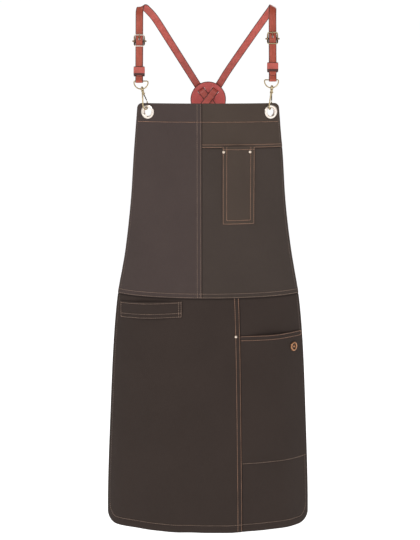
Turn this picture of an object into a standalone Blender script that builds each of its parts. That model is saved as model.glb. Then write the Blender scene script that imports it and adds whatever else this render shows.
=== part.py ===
"""Butcher apron: a canvas bib apron on leather cross-back straps with swivel snap hooks.

Metres, +Z up. The apron hangs as it is worn, its front facing -Y and its right-hand side,
as seen from the front, at +X. The origin is midway between the two tops of the shoulder straps.
"""

from math import asin, cos, pi, radians, sin, sqrt

import bmesh
import bpy
from mathutils import Euler, Matrix, Vector

# ---- cloth -------------------------------------------------------------------------------
CANVAS = 0.0012  # thickness of the canvas
GAP = 0.0004  # room between pieces that touch
WRAP = radians(70)  # how far round the body the side edges reach
# height, half width of the cloth, and how deep its sides curve back
PROFILE = (
    (-0.150, 0.136, 0.048),
    (-0.192, 0.139, 0.050),
    (-0.290, 0.147, 0.058),
    (-0.385, 0.154, 0.074),
    (-0.485, 0.167, 0.095),
    (-0.585, 0.184, 0.112),
    (-0.685, 0.1935, 0.125),
    (-0.840, 0.2015, 0.132),
    (-0.990, 0.2075, 0.135),
    (-1.100, 0.2085, 0.136),
)
BIB_TOP = -0.1925
WAIST = -0.577
HEM = -1.0595
BIB_CORNER = 0.009  # corner radius
HEM_CORNER = 0.021
YOKE_SEAM = -0.275
BIB_SEAM_X = -0.0132
SKIRT_SEAM = 0.309  # share of the half width
FACING_DEPTH = 0.037

CHEST_POCKET = (0.028, 0.0915, -0.2760, -0.430)  # left, right, top, bottom
CHEST_SWELL = (0.09, 0.79)  # the part of its width that stands off, between its rivets
CHEST_RIVETS = ((0.0303, -0.287), (0.0818, -0.287))
SIDE_RIVET = (0.0553, -0.6555)
SIDE_POCKET = (0.0052, 0.985, -0.654, -0.918)  # left past the skirt seam, right as a share, top, bottom
TOWEL_LOOP = (-0.176, -0.052, -0.583, 0.033, 0.009)  # left, right, top, depth, drop of the left end
POCKET_STAND = 0.0090  # how far the mouth of a pocket stands off
LOOP_STAND = 0.0080

# ---- metal -------------------------------------------------------------------------------
EYELET_ACROSS = {"left": 0.845, "right": 0.877}  # share of the half width
EYELET_Z = -0.209
EYELET_HOLE = 0.0082
EYELET_OUTER = 0.0139
BARREL_WALL = 0.0008
RIVET_CAP = 0.0031
RIVET_SHANK = 0.0010
BADGE_RADIUS = 0.0097
BADGE_AT = (0.1710, -0.684)
WIRE = 0.00125  # radius of the eye and ring wire
EYE_WIDTH = 0.0275
EYE_DROP = 0.0155
HOOK_WIRE = 0.0014
HOOK_HALF = 0.0100  # half the width of the hook's round end
HOOK_REST = 0.0041  # how far the hook's end lies below the top of the eyelet's hole
HOOK_BACK = 0.0015  # how far the hook's middle lies behind the face of the cloth
HOOK_ACROSS = {"left": -0.0035, "right": -0.0012}  # its end, from the hole's middle

# ---- leather -----------------------------------------------------------------------------
STRAP_WIDTH = 0.0150
STRAP = 0.0020  # thickness
CHAPE = 0.0018
PINCH = 0.0011  # half the spacing of the chape's two layers
TAIL = 0.0034  # how far the strap's tail lies in front of the chape's middle
LEAN = radians(14.6)  # the front straps lean back to the shoulder
KEEPER = (0.0091, -0.0049, 0.0025, 0.0018, 0.018)  # half width, front, back, thickness, height
DISC_Y = 0.200
DISC_Z = -0.193
DISC_RADIUS = 0.0368
DISC = 0.0022
SLIT = (0.0196, 0.0262, 0.0162)  # start, end, width
CROSS = Vector((0.60, 0.0, -0.80))  # the straps' direction over the disc

# ---- buckle ------------------------------------------------------------------------------
FRAME_HALF_WIDTH = 0.0095
FRAME_HALF_HEIGHT = 0.0111
FRAME_FRONT = -0.0063
FRAME_WIRE = 0.0014
PIN = 0.0011
PRONG = 0.0009
PRONG_TILT = radians(42)
# side, strap x, eye centre x, eye z, swivel x, bar above the eye, keeper above the eye, hook turn
FRONTS = {
    "left": (-1, -0.1348, -0.1312, -0.1495, -0.1288, 0.0798, 0.0190, radians(25)),
    "right": (1, 0.1263, 0.1240, -0.1470, 0.1247, 0.0820, 0.0246, radians(14)),
}
EYE_Y = 0.0205

# ---- waist -------------------------------------------------------------------------------
RING_ACROSS = 0.935
RING_Z = -0.560
RING_IN = 0.0062  # how far the ring's bar lies behind the face of the cloth
RING_LEAN = radians(32)
RING_HEIGHT = 0.014
TAB = 0.0015
FOLD = 0.0034

COLOURS = {
    "bib_canvas": ((0.078, 0.058, 0.050), 0.85, 0.0),
    "skirt_canvas": ((0.052, 0.040, 0.034), 0.85, 0.0),
    "leather": ((0.42, 0.105, 0.062), 0.5, 0.0),
    "brass": ((0.80, 0.66, 0.42), 0.25, 1.0),
    "dark_brass": ((0.16, 0.10, 0.06), 0.35, 1.0),
    "copper": ((0.62, 0.24, 0.12), 0.35, 1.0),
    "badge_dark": ((0.045, 0.035, 0.03), 0.45, 0.6),
}


# ---- scene and helpers -------------------------------------------------------------------
for old in list(bpy.data.objects):
    bpy.data.objects.remove(old, do_unlink=True)
parts = bpy.data.collections.new("butcher_apron")
cutters = bpy.data.collections.new("cutters")
bpy.context.scene.collection.children.link(parts)
bpy.context.scene.collection.children.link(cutters)


def material(name):
    found = bpy.data.materials.get(name)
    if found:
        return found
    made = bpy.data.materials.new(name)
    made.use_nodes = True
    colour, roughness, metallic = COLOURS[name]
    shader = made.node_tree.nodes["Principled BSDF"]
    shader.inputs["Base Color"].default_value = (*colour, 1)
    shader.inputs["Roughness"].default_value = roughness
    shader.inputs["Metallic"].default_value = metallic
    return made


def add(name, data, finish, parent=None, collection=parts):
    """Links a mesh or curve as an object of its own."""
    made = bpy.data.objects.new(name, data)
    collection.objects.link(made)
    if finish:
        data.materials.append(material(finish))
    made.parent = parent
    return made


def empty(name, place, turn=(0, 0, 0), parent=None):
    made = bpy.data.objects.new(name, None)
    parts.objects.link(made)
    made.location = place
    made.rotation_euler = turn
    made.parent = parent
    return made


def mesh_from(bm, name, smooth=False):
    data = bpy.data.meshes.new(name)
    bm.to_mesh(data)
    bm.free()
    if smooth:
        data.shade_smooth()
        data.set_sharp_from_angle(angle=radians(40))
    return data


def cutter(name, bm, parent=None):
    made = add(name, mesh_from(bm, name), None, parent, cutters)
    made.hide_render = True
    made.display_type = "WIRE"
    return made


def boolean(target, tool, operation="DIFFERENCE"):
    modifier = target.modifiers.new(tool.name, "BOOLEAN")
    modifier.operation = operation
    modifier.object = tool
    modifier.solver = "EXACT"


def cylinder(radius, length, axis="Z", place=(0, 0, 0), sides=20, top=None):
    """A closed cylinder or cone centred on place."""
    bm = bmesh.new()
    top = radius if top is None else top
    bmesh.ops.create_cone(bm, cap_ends=True, segments=sides, radius1=radius, radius2=top, depth=length)
    turns = {"X": Euler((0, pi / 2, 0)), "Y": Euler((-pi / 2, 0, 0)), "Z": Euler((0, 0, 0))}
    matrix = Matrix.Translation(place) @ turns[axis].to_matrix().to_4x4()
    bmesh.ops.transform(bm, matrix=matrix, verts=bm.verts)
    return bm


def box(low, high):
    bm = bmesh.new()
    bmesh.ops.create_cube(bm, size=1)
    low, high = Vector(low), Vector(high)
    matrix = Matrix.Translation((low + high) / 2) @ Matrix.Diagonal((*(high - low), 1))
    bmesh.ops.transform(bm, matrix=matrix, verts=bm.verts)
    return bm


def turned(name, profile, finish, parent=None, steps=20):
    """A profile of (radius, height) points, turned about local Z."""
    bm = bmesh.new()
    verts = [bm.verts.new((radius, 0, height)) for radius, height in profile]
    for first, second in zip(verts, verts[1:]):
        bm.edges.new((first, second))
    made = add(name, mesh_from(bm, name), finish, parent)
    screw = made.modifiers.new("turn", "SCREW")
    screw.steps = screw.render_steps = steps
    screw.use_merge_vertices = True
    screw.merge_threshold = 0.00001
    screw.use_smooth_shade = True
    return made


def wire_mesh(points, radius, closed=False, resolution=2):
    """The mesh of a round wire along points."""
    curve = bpy.data.curves.new("wire", "CURVE")
    curve.dimensions = "3D"
    curve.bevel_depth = radius
    curve.bevel_resolution = resolution
    curve.use_fill_caps = True
    spline = curve.splines.new("POLY")
    spline.points.add(len(points) - 1)
    for point, place in zip(spline.points, points):
        point.co = (*place, 1)
    spline.use_cyclic_u = closed
    source = bpy.data.objects.new("wire", curve)
    bpy.context.scene.collection.objects.link(source)
    graph = bpy.context.evaluated_depsgraph_get()
    data = bpy.data.meshes.new_from_object(source.evaluated_get(graph))
    bm = bmesh.new()
    bm.from_mesh(data)
    bmesh.ops.remove_doubles(bm, verts=bm.verts, dist=0.00001)
    bmesh.ops.recalc_face_normals(bm, faces=bm.faces)
    bpy.data.objects.remove(source, do_unlink=True)
    return bm


def extruded(name, loops, half, finish, parent=None):
    """A flat outline in local Y and Z, with any holes, given a width along local X."""
    curve = bpy.data.curves.new(name, "CURVE")
    curve.dimensions = "2D"
    curve.fill_mode = "BOTH"
    curve.extrude = half
    curve.render_resolution_u = 0
    for loop in loops:
        spline = curve.splines.new("POLY")
        spline.points.add(len(loop) - 1)
        for point, (y, z) in zip(spline.points, loop):
            point.co = (y, z, 0, 1)
        spline.use_cyclic_u = True
    source = bpy.data.objects.new(name + "_outline", curve)
    bpy.context.scene.collection.objects.link(source)
    graph = bpy.context.evaluated_depsgraph_get()
    data = bpy.data.meshes.new_from_object(source.evaluated_get(graph))
    bm = bmesh.new()
    bm.from_mesh(data)
    bmesh.ops.remove_doubles(bm, verts=bm.verts, dist=0.00001)
    stand = Matrix(((0, 0, 1, 0), (1, 0, 0, 0), (0, 1, 0, 0), (0, 0, 0, 1)))
    bmesh.ops.transform(bm, matrix=stand, verts=bm.verts)
    bmesh.ops.recalc_face_normals(bm, faces=bm.faces)
    bpy.data.objects.remove(source, do_unlink=True)
    return add(name, mesh_from(bm, name), finish, parent)


def arc(centre, radius, start, stop, count):
    """Points of a plane arc; angles in degrees."""
    angles = [radians(start + (stop - start) * i / count) for i in range(count + 1)]
    return [(centre[0] + radius * cos(a), centre[1] + radius * sin(a)) for a in angles]


def between(start, stop, count):
    return [start + (stop - start) * i / count for i in range(count + 1)]


def smooth_rows(rows, count):
    """A Catmull-Rom curve through rows of any number of values."""
    first = [2 * p - q for p, q in zip(rows[0], rows[1])]
    last = [2 * p - q for p, q in zip(rows[-1], rows[-2])]
    ends = [first, *rows, last]
    path = []
    for a, b, c, d in zip(ends, ends[1:], ends[2:], ends[3:]):
        for i in range(count):
            t = i / count
            weights = (
                (2 * t**2 - t - t**3) / 2, (2 - 5 * t**2 + 3 * t**3) / 2,
                (t + 4 * t**2 - 3 * t**3) / 2, (t**3 - t**2) / 2,
            )
            path.append([sum(w * v for w, v in zip(weights, values)) for values in zip(a, b, c, d)])
    return [*path, rows[-1]]


# ---- where the cloth lies ----------------------------------------------------------------
def cloth_size(z):
    """Half width and depth of the cloth at height z, on a smooth curve through PROFILE."""
    rows = PROFILE
    i = next(k for k in range(1, len(rows)) if z >= rows[k][0] or k == len(rows) - 1) - 1
    i = max(0, min(i, len(rows) - 2))
    a, b = rows[max(i - 1, 0)], rows[i]
    c, d = rows[i + 1], rows[min(i + 2, len(rows) - 1)]
    t = (z - b[0]) / (c[0] - b[0])
    sizes = []
    for k in (1, 2):
        slope_b = (c[k] - a[k]) / (c[0] - a[0]) * (c[0] - b[0])
        slope_c = (d[k] - b[k]) / (d[0] - b[0]) * (c[0] - b[0])
        sizes.append(
            (2 * t**3 - 3 * t**2 + 1) * b[k]
            + (t**3 - 2 * t**2 + t) * slope_b
            + (3 * t**2 - 2 * t**3) * c[k]
            + (t**3 - t**2) * slope_c
        )
    return sizes


def half_width(z):
    return cloth_size(z)[0]


def facing_out(x, z):
    """The cloth's outward direction, level, at x and z."""
    half, depth = cloth_size(z)
    angle = asin(max(-1, min(1, x / half)) * sin(WRAP))
    return Vector((depth * sin(angle), -half * cos(angle) / sin(WRAP), 0)).normalized()


def on_cloth(x, z, proud=0.0):
    """The point of the cloth's face at x and z, moved out by proud."""
    half, depth = cloth_size(z)
    angle = asin(max(-1, min(1, x / half)) * sin(WRAP))
    return Vector((x, depth * (1 - cos(angle)), z)) + facing_out(x, z) * proud


def corner_drop(x, half, radius):
    over = max(0.0, abs(x) - (half - radius))
    return radius - sqrt(max(0.0, radius**2 - over**2))


def edge_columns(half, radius, width, count):
    """Shares of a panel's width, from its outer edge inwards, close together round its corner."""
    corner = [radius * (1 - cos(radians(a))) / width for a in (0, 25, 50, 70, 90)]
    return [*corner, *between(corner[-1], 1.0, count)[1:]]


def panel(name, finish, left, right, top, bottom, columns, rows, proud, radii=(0, 0)):
    """A canvas panel: a grid laid on the cloth's surface and given its thickness.

    left and right give x at a height, top and bottom are heights, columns and rows are shares
    from 0 to 1, proud gives the stand-off at each share, and radii round the outer corners."""

    def share_x(share, z):
        return left(z) + (right(z) - left(z)) * share

    bm = bmesh.new()
    across, down = len(columns) - 1, len(rows) - 1
    bmesh.ops.create_grid(bm, x_segments=across, y_segments=down, size=1)
    for vert in bm.verts:
        column = columns[round((vert.co.x + 1) / 2 * across)]
        row = rows[round((1 - vert.co.y) / 2 * down)]
        high, low = top, bottom
        if radii[0]:
            high -= corner_drop(share_x(column, top), half_width(top), radii[0])
        if radii[1]:
            low += corner_drop(share_x(column, bottom), half_width(bottom), radii[1])
        z = high + (low - high) * row
        vert.co = on_cloth(share_x(column, z), z, proud(column, row))
    made = add(name, mesh_from(bm, name, smooth=True), finish)
    thick = made.modifiers.new("thickness", "SOLIDIFY")
    thick.thickness = CANVAS
    thick.offset = -1
    thick.use_even_offset = True
    return made


def flat(_column, _row):
    return 0.0


def swell(share, start=0.0, stop=1.0):
    """0 outside start and stop, rising smoothly to 1 midway between them."""
    return sin(pi * min(1.0, max(0.0, (share - start) / (stop - start)))) ** 2


def side_pocket_proud(column, row):
    return CANVAS + GAP + POCKET_STAND * swell(column) * (1 - row**3)


# ---- cloth pieces ------------------------------------------------------------------------
def bib_and_skirt():
    """The bib's three panels, its facing, and the skirt's two panels."""
    edge = edge_columns(half_width(BIB_TOP), BIB_CORNER, half_width(BIB_TOP) + BIB_SEAM_X, 9)
    far_edge = [1 - share for share in reversed(edge)]
    seam = GAP / 2

    def side(sign):
        return lambda z: sign * half_width(z)

    made = {}
    made["bib_left_panel"] = panel(
        "bib_left_panel", "bib_canvas", side(-1), lambda z: BIB_SEAM_X - seam, BIB_TOP, WAIST + seam,
        edge, between(0, 1, 12), flat, (BIB_CORNER, 0),
    )
    made["bib_yoke"] = panel(
        "bib_yoke", "bib_canvas", lambda z: BIB_SEAM_X + seam, side(1), BIB_TOP, YOKE_SEAM + seam,
        far_edge, between(0, 1, 4), flat, (BIB_CORNER, 0),
    )
    made["bib_right_panel"] = panel(
        "bib_right_panel", "bib_canvas", lambda z: BIB_SEAM_X + seam, side(1), YOKE_SEAM - seam, WAIST + seam,
        between(0, 1, 12), between(0, 1, 10), flat,
    )
    made["bib_facing"] = panel(
        "bib_facing", "bib_canvas", side(-0.99), side(0.99), BIB_TOP - 0.001, BIB_TOP - FACING_DEPTH,
        [*[s / 2 for s in edge], *[1 - s / 2 for s in reversed(edge[:-1])]], between(0, 1, 3),
        lambda c, r: -(CANVAS + GAP), (BIB_CORNER, 0),
    )
    hem_edge = edge_columns(half_width(HEM), HEM_CORNER, half_width(HEM) * (1 + SKIRT_SEAM), 11)
    hem_far = edge_columns(half_width(HEM), HEM_CORNER, half_width(HEM) * (1 - SKIRT_SEAM), 6)
    made["skirt_left_panel"] = panel(
        "skirt_left_panel", "skirt_canvas", side(-1), lambda z: SKIRT_SEAM * half_width(z) - seam,
        WAIST - seam, HEM, hem_edge, between(0, 1, 13), flat, (0, HEM_CORNER),
    )
    made["skirt_right_panel"] = panel(
        "skirt_right_panel", "skirt_canvas", lambda z: SKIRT_SEAM * half_width(z) + seam, side(1),
        WAIST - seam, HEM, [1 - share for share in reversed(hem_far)], between(0, 1, 13), flat,
        (0, HEM_CORNER),
    )
    return made


def pockets():
    """The chest pocket, the side pocket and the towel loop stand off the cloth in their middles."""
    sewn = CANVAS + GAP
    left, right, top, bottom = CHEST_POCKET

    def chest_proud(column, row):
        return sewn + POCKET_STAND * swell(column, *CHEST_SWELL) * (1 - row**2)

    made = {}
    made["chest_pocket"] = panel(
        "chest_pocket", "bib_canvas", lambda z: left, lambda z: right, top, bottom,
        between(0, 1, 10), between(0, 1, 7), chest_proud,
    )
    p_left, p_right, p_top, p_bottom = SIDE_POCKET

    made["side_pocket"] = panel(
        "side_pocket", "skirt_canvas", lambda z: SKIRT_SEAM * half_width(z) + p_left,
        lambda z: p_right * half_width(z), p_top, p_bottom,
        between(0, 1, 12), between(0, 1, 9), side_pocket_proud,
    )
    l_left, l_right, l_top, l_deep, l_drop = TOWEL_LOOP

    def loop_proud(column, _row):
        return sewn + LOOP_STAND * swell(column)

    loop = panel(
        "towel_loop", "skirt_canvas", lambda z: l_left, lambda z: l_right, l_top, l_top - l_deep,
        between(0, 1, 12), between(0, 1, 2), loop_proud,
    )
    for vert in loop.data.vertices:
        share = (l_right - vert.co.x) / (l_right - l_left)
        vert.co.z -= l_drop * min(1.0, max(0.0, share))
    made["towel_loop"] = loop
    return made


def facing_empty(name, x, z, proud=0.0):
    """An empty on the cloth whose local Z points straight out of it."""
    out = facing_out(x, z)
    made = empty(name, on_cloth(x, z, proud))
    made.rotation_euler = out.to_track_quat("Z", "Y").to_euler()
    return made


def rivet(name, x, z, through, proud=0.0):
    """A rivet of one cap, shank and back cap through the given cloth pieces."""
    seat = facing_empty(name + "_seat", x, z, proud)
    face = GAP
    depth = -(2 * CANVAS + GAP + proud + 0.0004)
    profile = [
        (0, face + 0.0013), (RIVET_CAP * 0.55, face + 0.0011), (RIVET_CAP * 0.9, face + 0.0006),
        (RIVET_CAP, face), (RIVET_SHANK, face), (RIVET_SHANK, depth),
        (RIVET_CAP, depth), (RIVET_CAP * 0.9, depth - 0.0006), (0, depth - 0.0008),
    ]
    turned(name, profile, "brass", seat, steps=16)
    hole = cutter(name + "_hole", cylinder(RIVET_SHANK + 0.0004, 0.012, sides=12), seat)
    for piece in through:
        boolean(piece, hole)


def badge(pocket):
    """A round metal badge on the side pocket: a ring, and a domed centre riveted through."""
    x, z = BADGE_AT
    place = side_pocket_point(x, z)
    across = side_pocket_point(x + 0.004, z) - side_pocket_point(x - 0.004, z)
    up = side_pocket_point(x, z + 0.004) - side_pocket_point(x, z - 0.004)
    seat = empty("badge_seat", place, across.cross(up).to_track_quat("Z", "Y").to_euler())
    radius = BADGE_RADIUS
    turned("badge_ring", [
        (radius * 0.66, 0.0026), (radius * 0.86, 0.0029), (radius * 0.97, 0.0022), (radius, 0.0012),
        (radius * 0.97, 0.0008), (radius * 0.66, 0.0008), (radius * 0.66, 0.0026),
    ], "copper", seat)
    turned("badge_center", [
        (0, 0.0030), (radius * 0.3, 0.0028), (radius * 0.5, 0.0023), (radius * 0.61, 0.0016),
        (radius * 0.61, 0.0008), (0.0012, 0.0008), (0.0012, -0.0020), (0.0040, -0.0020),
        (0.0040, -0.0028), (0, -0.0028),
    ], "badge_dark", seat)
    boolean(pocket, cutter("badge_hole", cylinder(0.0016, 0.012, sides=12), seat))


def side_pocket_point(x, z):
    """The point of the side pocket's face at x and z."""
    past_seam, right, top, bottom = SIDE_POCKET
    left = SKIRT_SEAM * half_width(z) + past_seam
    column = (x - left) / (right * half_width(z) - left)
    return on_cloth(x, z, side_pocket_proud(column, (top - z) / (top - bottom)))


def eyelet(side_name, sign, through):
    """A two-part eyelet: a flanged barrel from the front and a washer behind."""
    x = sign * EYELET_ACROSS[side_name] * half_width(EYELET_Z)
    seat = facing_empty("eyelet_seat_" + side_name, x, EYELET_Z)
    hole, outer = EYELET_HOLE, EYELET_OUTER
    barrel = hole + BARREL_WALL
    back = -(2 * CANVAS + GAP + 0.0020)
    turned("eyelet_" + side_name, [
        (hole, back), (hole, 0.0007), (hole + 0.0006, 0.0016), (hole + 0.0019, 0.0021),
        (outer - 0.0016, 0.0018), (outer - 0.0003, 0.0010), (outer, GAP),
        (barrel, GAP), (barrel, back), (hole, back),
    ], "brass", seat)
    face = -(2 * CANVAS + GAP + 0.0011)
    turned("eyelet_washer_" + side_name, [
        (barrel + 0.0003, face), (outer - 0.0006, face), (outer - 0.0004, face - 0.0004),
        (outer - 0.0010, face - 0.0008), (barrel + 0.0003, face - 0.0008), (barrel + 0.0003, face),
    ], "brass", seat)
    cut = cutter("eyelet_hole_" + side_name, cylinder(barrel + 0.0006, 0.03, sides=20), seat)
    for piece in through:
        boolean(piece, cut)


# ---- front hardware ----------------------------------------------------------------------
def front_frame(side_name):
    """The empty at the middle of the eye's bar, its local Z running up the strap."""
    strap_x, eye_z = FRONTS[side_name][1], FRONTS[side_name][3]
    return empty("front_" + side_name, (strap_x, EYE_Y, eye_z), (-LEAN, 0, 0))


def chape(side_name, frame, bar_up):
    """The short strap that loops round the eye's bar and round the buckle's bar."""
    eye_in = WIRE + GAP
    bar_in = PIN + GAP

    def loop(extra, eye_radius, bar_radius):
        run_low, run_high = 0.0065, bar_up - 0.0065
        flat_y = PINCH + extra
        return [
            *arc((0, 0), eye_radius, 200, 340, 8),
            (flat_y, run_low), (flat_y, run_high),
            *arc((0, bar_up), bar_radius, -20, 200, 10),
            (-flat_y, run_high), (-flat_y, run_low),
        ]

    outer = loop(CHAPE / 2, eye_in + CHAPE, bar_in + CHAPE)
    inner = loop(-CHAPE / 2, eye_in, bar_in)
    made = extruded("chape_" + side_name, (outer, inner), STRAP_WIDTH / 2, "leather", frame)
    slot = box((-0.0017, -0.008, bar_up - 0.0045), (0.0017, 0.008, bar_up + 0.006))
    boolean(made, cutter("chape_slot_" + side_name, slot, frame))


def buckle(side_name, frame, bar_up):
    """A bowed frame, its bar pinned through two side bosses, and the prong on the bar."""
    seat = empty("buckle_seat_" + side_name, (0, 0, bar_up), parent=frame)
    corner = 0.003
    half_w, half_h = FRAME_HALF_WIDTH, FRAME_HALF_HEIGHT
    outline = []
    for sx, sz, start in ((1, 1, 0), (-1, 1, 90), (-1, -1, 180), (1, -1, 270)):
        centre = (sx * (half_w - corner), sz * (half_h - corner))
        outline += arc(centre, corner, start, start + 90, 4)
    points = []
    for i, (x, z) in enumerate(outline):
        points.append((x, z))
        follow = outline[(i + 1) % len(outline)]
        if abs(z - follow[1]) > 0.006:
            points += [(x, z + (follow[1] - z) * k / 6) for k in range(1, 6)]
    path = [(x, FRAME_FRONT * (z / half_h) ** 2, z) for x, z in points]
    data = mesh_from(wire_mesh(path, FRAME_WIRE, closed=True), "buckle_frame_" + side_name, True)
    ring = add("buckle_frame_" + side_name, data, "dark_brass", seat)
    for sign in (-1, 1):
        boss = cylinder(0.0025, 0.0028, "X", (sign * (half_w + 0.0002), 0, 0), 16)
        boolean(ring, cutter(f"boss_{side_name}_{sign}", boss, seat), "UNION")
    boolean(ring, cutter("bar_hole_" + side_name, cylinder(PIN + GAP, 0.04, "X", sides=14), seat))

    end = half_w + 0.0020
    pin_seat = empty("bar_seat_" + side_name, (0, 0, 0), (0, pi / 2, 0), seat)
    half_pin = [
        (PIN, end), (0.0016, end), (0.0017, end + 0.0012), (0.0012, end + 0.0024), (0, end + 0.0028),
    ]
    turned(
        "buckle_bar_" + side_name, [*reversed(half_pin), *[(r, -h) for r, h in half_pin]], "dark_brass",
        pin_seat, steps=16,
    )

    reach = FRAME_HALF_HEIGHT / cos(PRONG_TILT) + 0.0024
    hub = cylinder(0.0025, 0.0024, "X", sides=18)
    prong = add("buckle_prong_" + side_name, mesh_from(hub, "prong", True), "brass", seat)
    direction = Vector((0, -sin(PRONG_TILT), cos(PRONG_TILT)))
    shank = wire_mesh([direction * 0.0019, direction * (reach - 0.001), direction * reach], PRONG)
    boolean(prong, cutter("prong_shank_" + side_name, shank, seat), "UNION")
    boolean(prong, cutter("prong_hole_" + side_name, cylinder(PIN + 0.0003, 0.01, "X", sides=14), seat))
    return seat


def keeper(side_name, frame, up):
    """A leather band round the chape and the strap's tail, free to slide along them."""
    half, front, back, thick, height = KEEPER

    def ring(grow, corner):
        points = []
        for x, y, start in (
            (half, back, 0), (-half, back, 90), (-half, front, 180), (half, front, 270),
        ):
            sx = 1 if x > 0 else -1
            sy = 1 if y == back else -1
            centre = (x + sx * (grow - corner), y + sy * (grow - corner))
            points += arc(centre, corner, start, start + 90, 3)
        return points

    curve_loops = (ring(thick, 0.0022), ring(0, 0.0006))
    made = extruded("keeper_" + side_name, curve_loops, height / 2, "leather", frame)
    made.data.transform(Matrix(((0, 1, 0, 0), (0, 0, 1, 0), (1, 0, 0, 0), (0, 0, 0, 1))))
    made.location = (0, 0, up)


def strap_eye(side_name):
    """The D-shaped eye: a straight bar in the chape, a round bow, and a boss for the swivel.

    Returns the eye, the swivel's empty, and where the hook starts and ends."""
    sign, strap_x, eye_x, eye_z, swivel_x, _, _, _ = FRONTS[side_name]
    seat = empty("eye_seat_" + side_name, (strap_x, EYE_Y, eye_z))
    middle = eye_x - strap_x
    half, drop, corner = EYE_WIDTH / 2, EYE_DROP, 0.0022
    points = arc((middle + half - corner, -corner), corner, 90, 20, 3)
    bow = [radians(a) for a in between(-8, -172, 14)]
    points += [(middle + half * cos(a), -corner + (drop - corner) * sin(a)) for a in bow]
    points += arc((middle - half + corner, -corner), corner, 160, 90, 3)
    path = [(x, 0, z) for x, z in points]
    data = mesh_from(wire_mesh(path, WIRE, closed=True), "strap_eye_" + side_name, True)
    eye = add("strap_eye_" + side_name, data, "brass", seat)
    swivel = empty("swivel_" + side_name, (swivel_x - strap_x, 0, -drop), parent=seat)
    x = sign * EYELET_ACROSS[side_name] * half_width(EYELET_Z) + HOOK_ACROSS[side_name]
    end = on_cloth(x, EYELET_Z, -HOOK_BACK) + Vector((0, 0, EYELET_HOLE - HOOK_REST))
    start = Vector((swivel_x, EYE_Y, eye_z - drop))
    return eye, swivel, start, end


def snap_hook(side_name):
    """The swivel snap hook in its eye: stem and hook, spring gate, and the gate's pin."""
    turn = FRONTS[side_name][7]
    eye, swivel, start, end = strap_eye(side_name)
    down = (end - start).normalized()
    front = Vector((-sin(turn), -cos(turn), 0))
    front = (front - down * front.dot(down)).normalized()
    side = (-down).cross(front)
    # local X is across the hook's plane, local -Y is its front leg's side, local Z runs up the stem
    turn_matrix = Matrix((side, -front, -down)).transposed()
    swivel.rotation_euler = turn_matrix.to_euler()

    boss = cutter("swivel_boss_" + side_name, cylinder(0.0032, 0.0050, sides=20), swivel)
    boolean(eye, boss, "UNION")
    boolean(eye, cutter("swivel_hole_" + side_name, cylinder(HOOK_WIRE + 0.0004, 0.012, sides=16), swivel))

    half = HOOK_HALF
    low = -(end - start).length
    gate_end = low + 0.0155
    leg = smooth_rows(
        [(0, -0.0016, -0.0075), (0, -0.0048, -0.014), (0, -0.0085, low + 0.0155), (0, -half, low + half)], 3
    )
    bend = [(0, y, z) for y, z in arc((0, low + half), half, 180, 360, 12)]
    rise = [(0, half - 0.0002, gate_end - 0.0006)]
    name = "snap_hook_" + side_name
    hook = add(name, mesh_from(wire_mesh([*leg, *bend[1:], *rise], HOOK_WIRE), name, True), "brass", swivel)
    block = cylinder(0.0031, 0.0085, place=(0, 0, -0.00715), top=0.0023)
    boolean(hook, cutter("hook_block_" + side_name, block, swivel), "UNION")
    stem = cylinder(HOOK_WIRE, 0.0072, place=(0, 0, -0.0002), sides=16)
    boolean(hook, cutter("hook_stem_" + side_name, stem, swivel), "UNION")
    head = cylinder(0.0027, 0.0020, place=(0, 0, 0.0040), top=0.0018)
    boolean(hook, cutter("hook_head_" + side_name, head, swivel), "UNION")
    pivot = Vector((0, 0.0012, -0.0087))
    slot = box((-0.0016, -0.0015, -0.0125), (0.0016, 0.0060, -0.0058))
    boolean(hook, cutter("gate_slot_" + side_name, slot, swivel))
    bore = cylinder(0.0011, 0.012, "X", pivot, 12)
    boolean(hook, cutter("gate_pin_hole_" + side_name, bore, swivel))

    pin_seat = empty("gate_seat_" + side_name, pivot, parent=swivel)
    pin = mesh_from(cylinder(0.0007, 0.0052, "X", sides=12), "gate_pin", True)
    add("gate_pin_" + side_name, pin, "brass", pin_seat)
    tip = Vector((0, half - 0.0007, gate_end + 0.0008)) - pivot
    name = "hook_gate_" + side_name
    rod = wire_mesh([tip * 0.05, tip * 0.5, tip], 0.0011)
    gate = add(name, mesh_from(rod, name, True), "brass", pin_seat)
    boolean(gate, cutter("gate_hub_" + side_name, cylinder(0.0019, 0.0024, "X", sides=16), pin_seat), "UNION")
    boolean(gate, cutter("gate_bore_" + side_name, cylinder(0.0010, 0.01, "X", sides=12), pin_seat))


# ---- straps and disc ---------------------------------------------------------------------
def waist_axes(sign):
    """Origin and axes of a waist ring: along its bar, inwards, and up through the ring."""
    x = sign * RING_ACROSS * half_width(RING_Z)
    out = facing_out(x, RING_Z)
    inward = -out
    along = inward.cross(Vector((0, 0, 1)))
    rise = inward * sin(RING_LEAN) + Vector((0, 0, cos(RING_LEAN)))
    origin = on_cloth(x, RING_Z, -RING_IN)
    return origin, along, rise.cross(along), rise


def disc_offset(distance, over):
    """How far the strap lies from the disc's middle plane, at a distance from the disc's centre."""
    clear = DISC / 2 + GAP + STRAP / 2
    start, stop = SLIT[0] + 0.0004, SLIT[1] - 0.0004
    share = min(1.0, max(0.0, (abs(distance) - start) / (stop - start)))
    offset = -clear + 2 * clear * share
    if over:
        offset -= (STRAP + GAP) * min(1.0, max(0.0, (0.0135 - abs(distance)) / 0.0040))
    return offset


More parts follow.
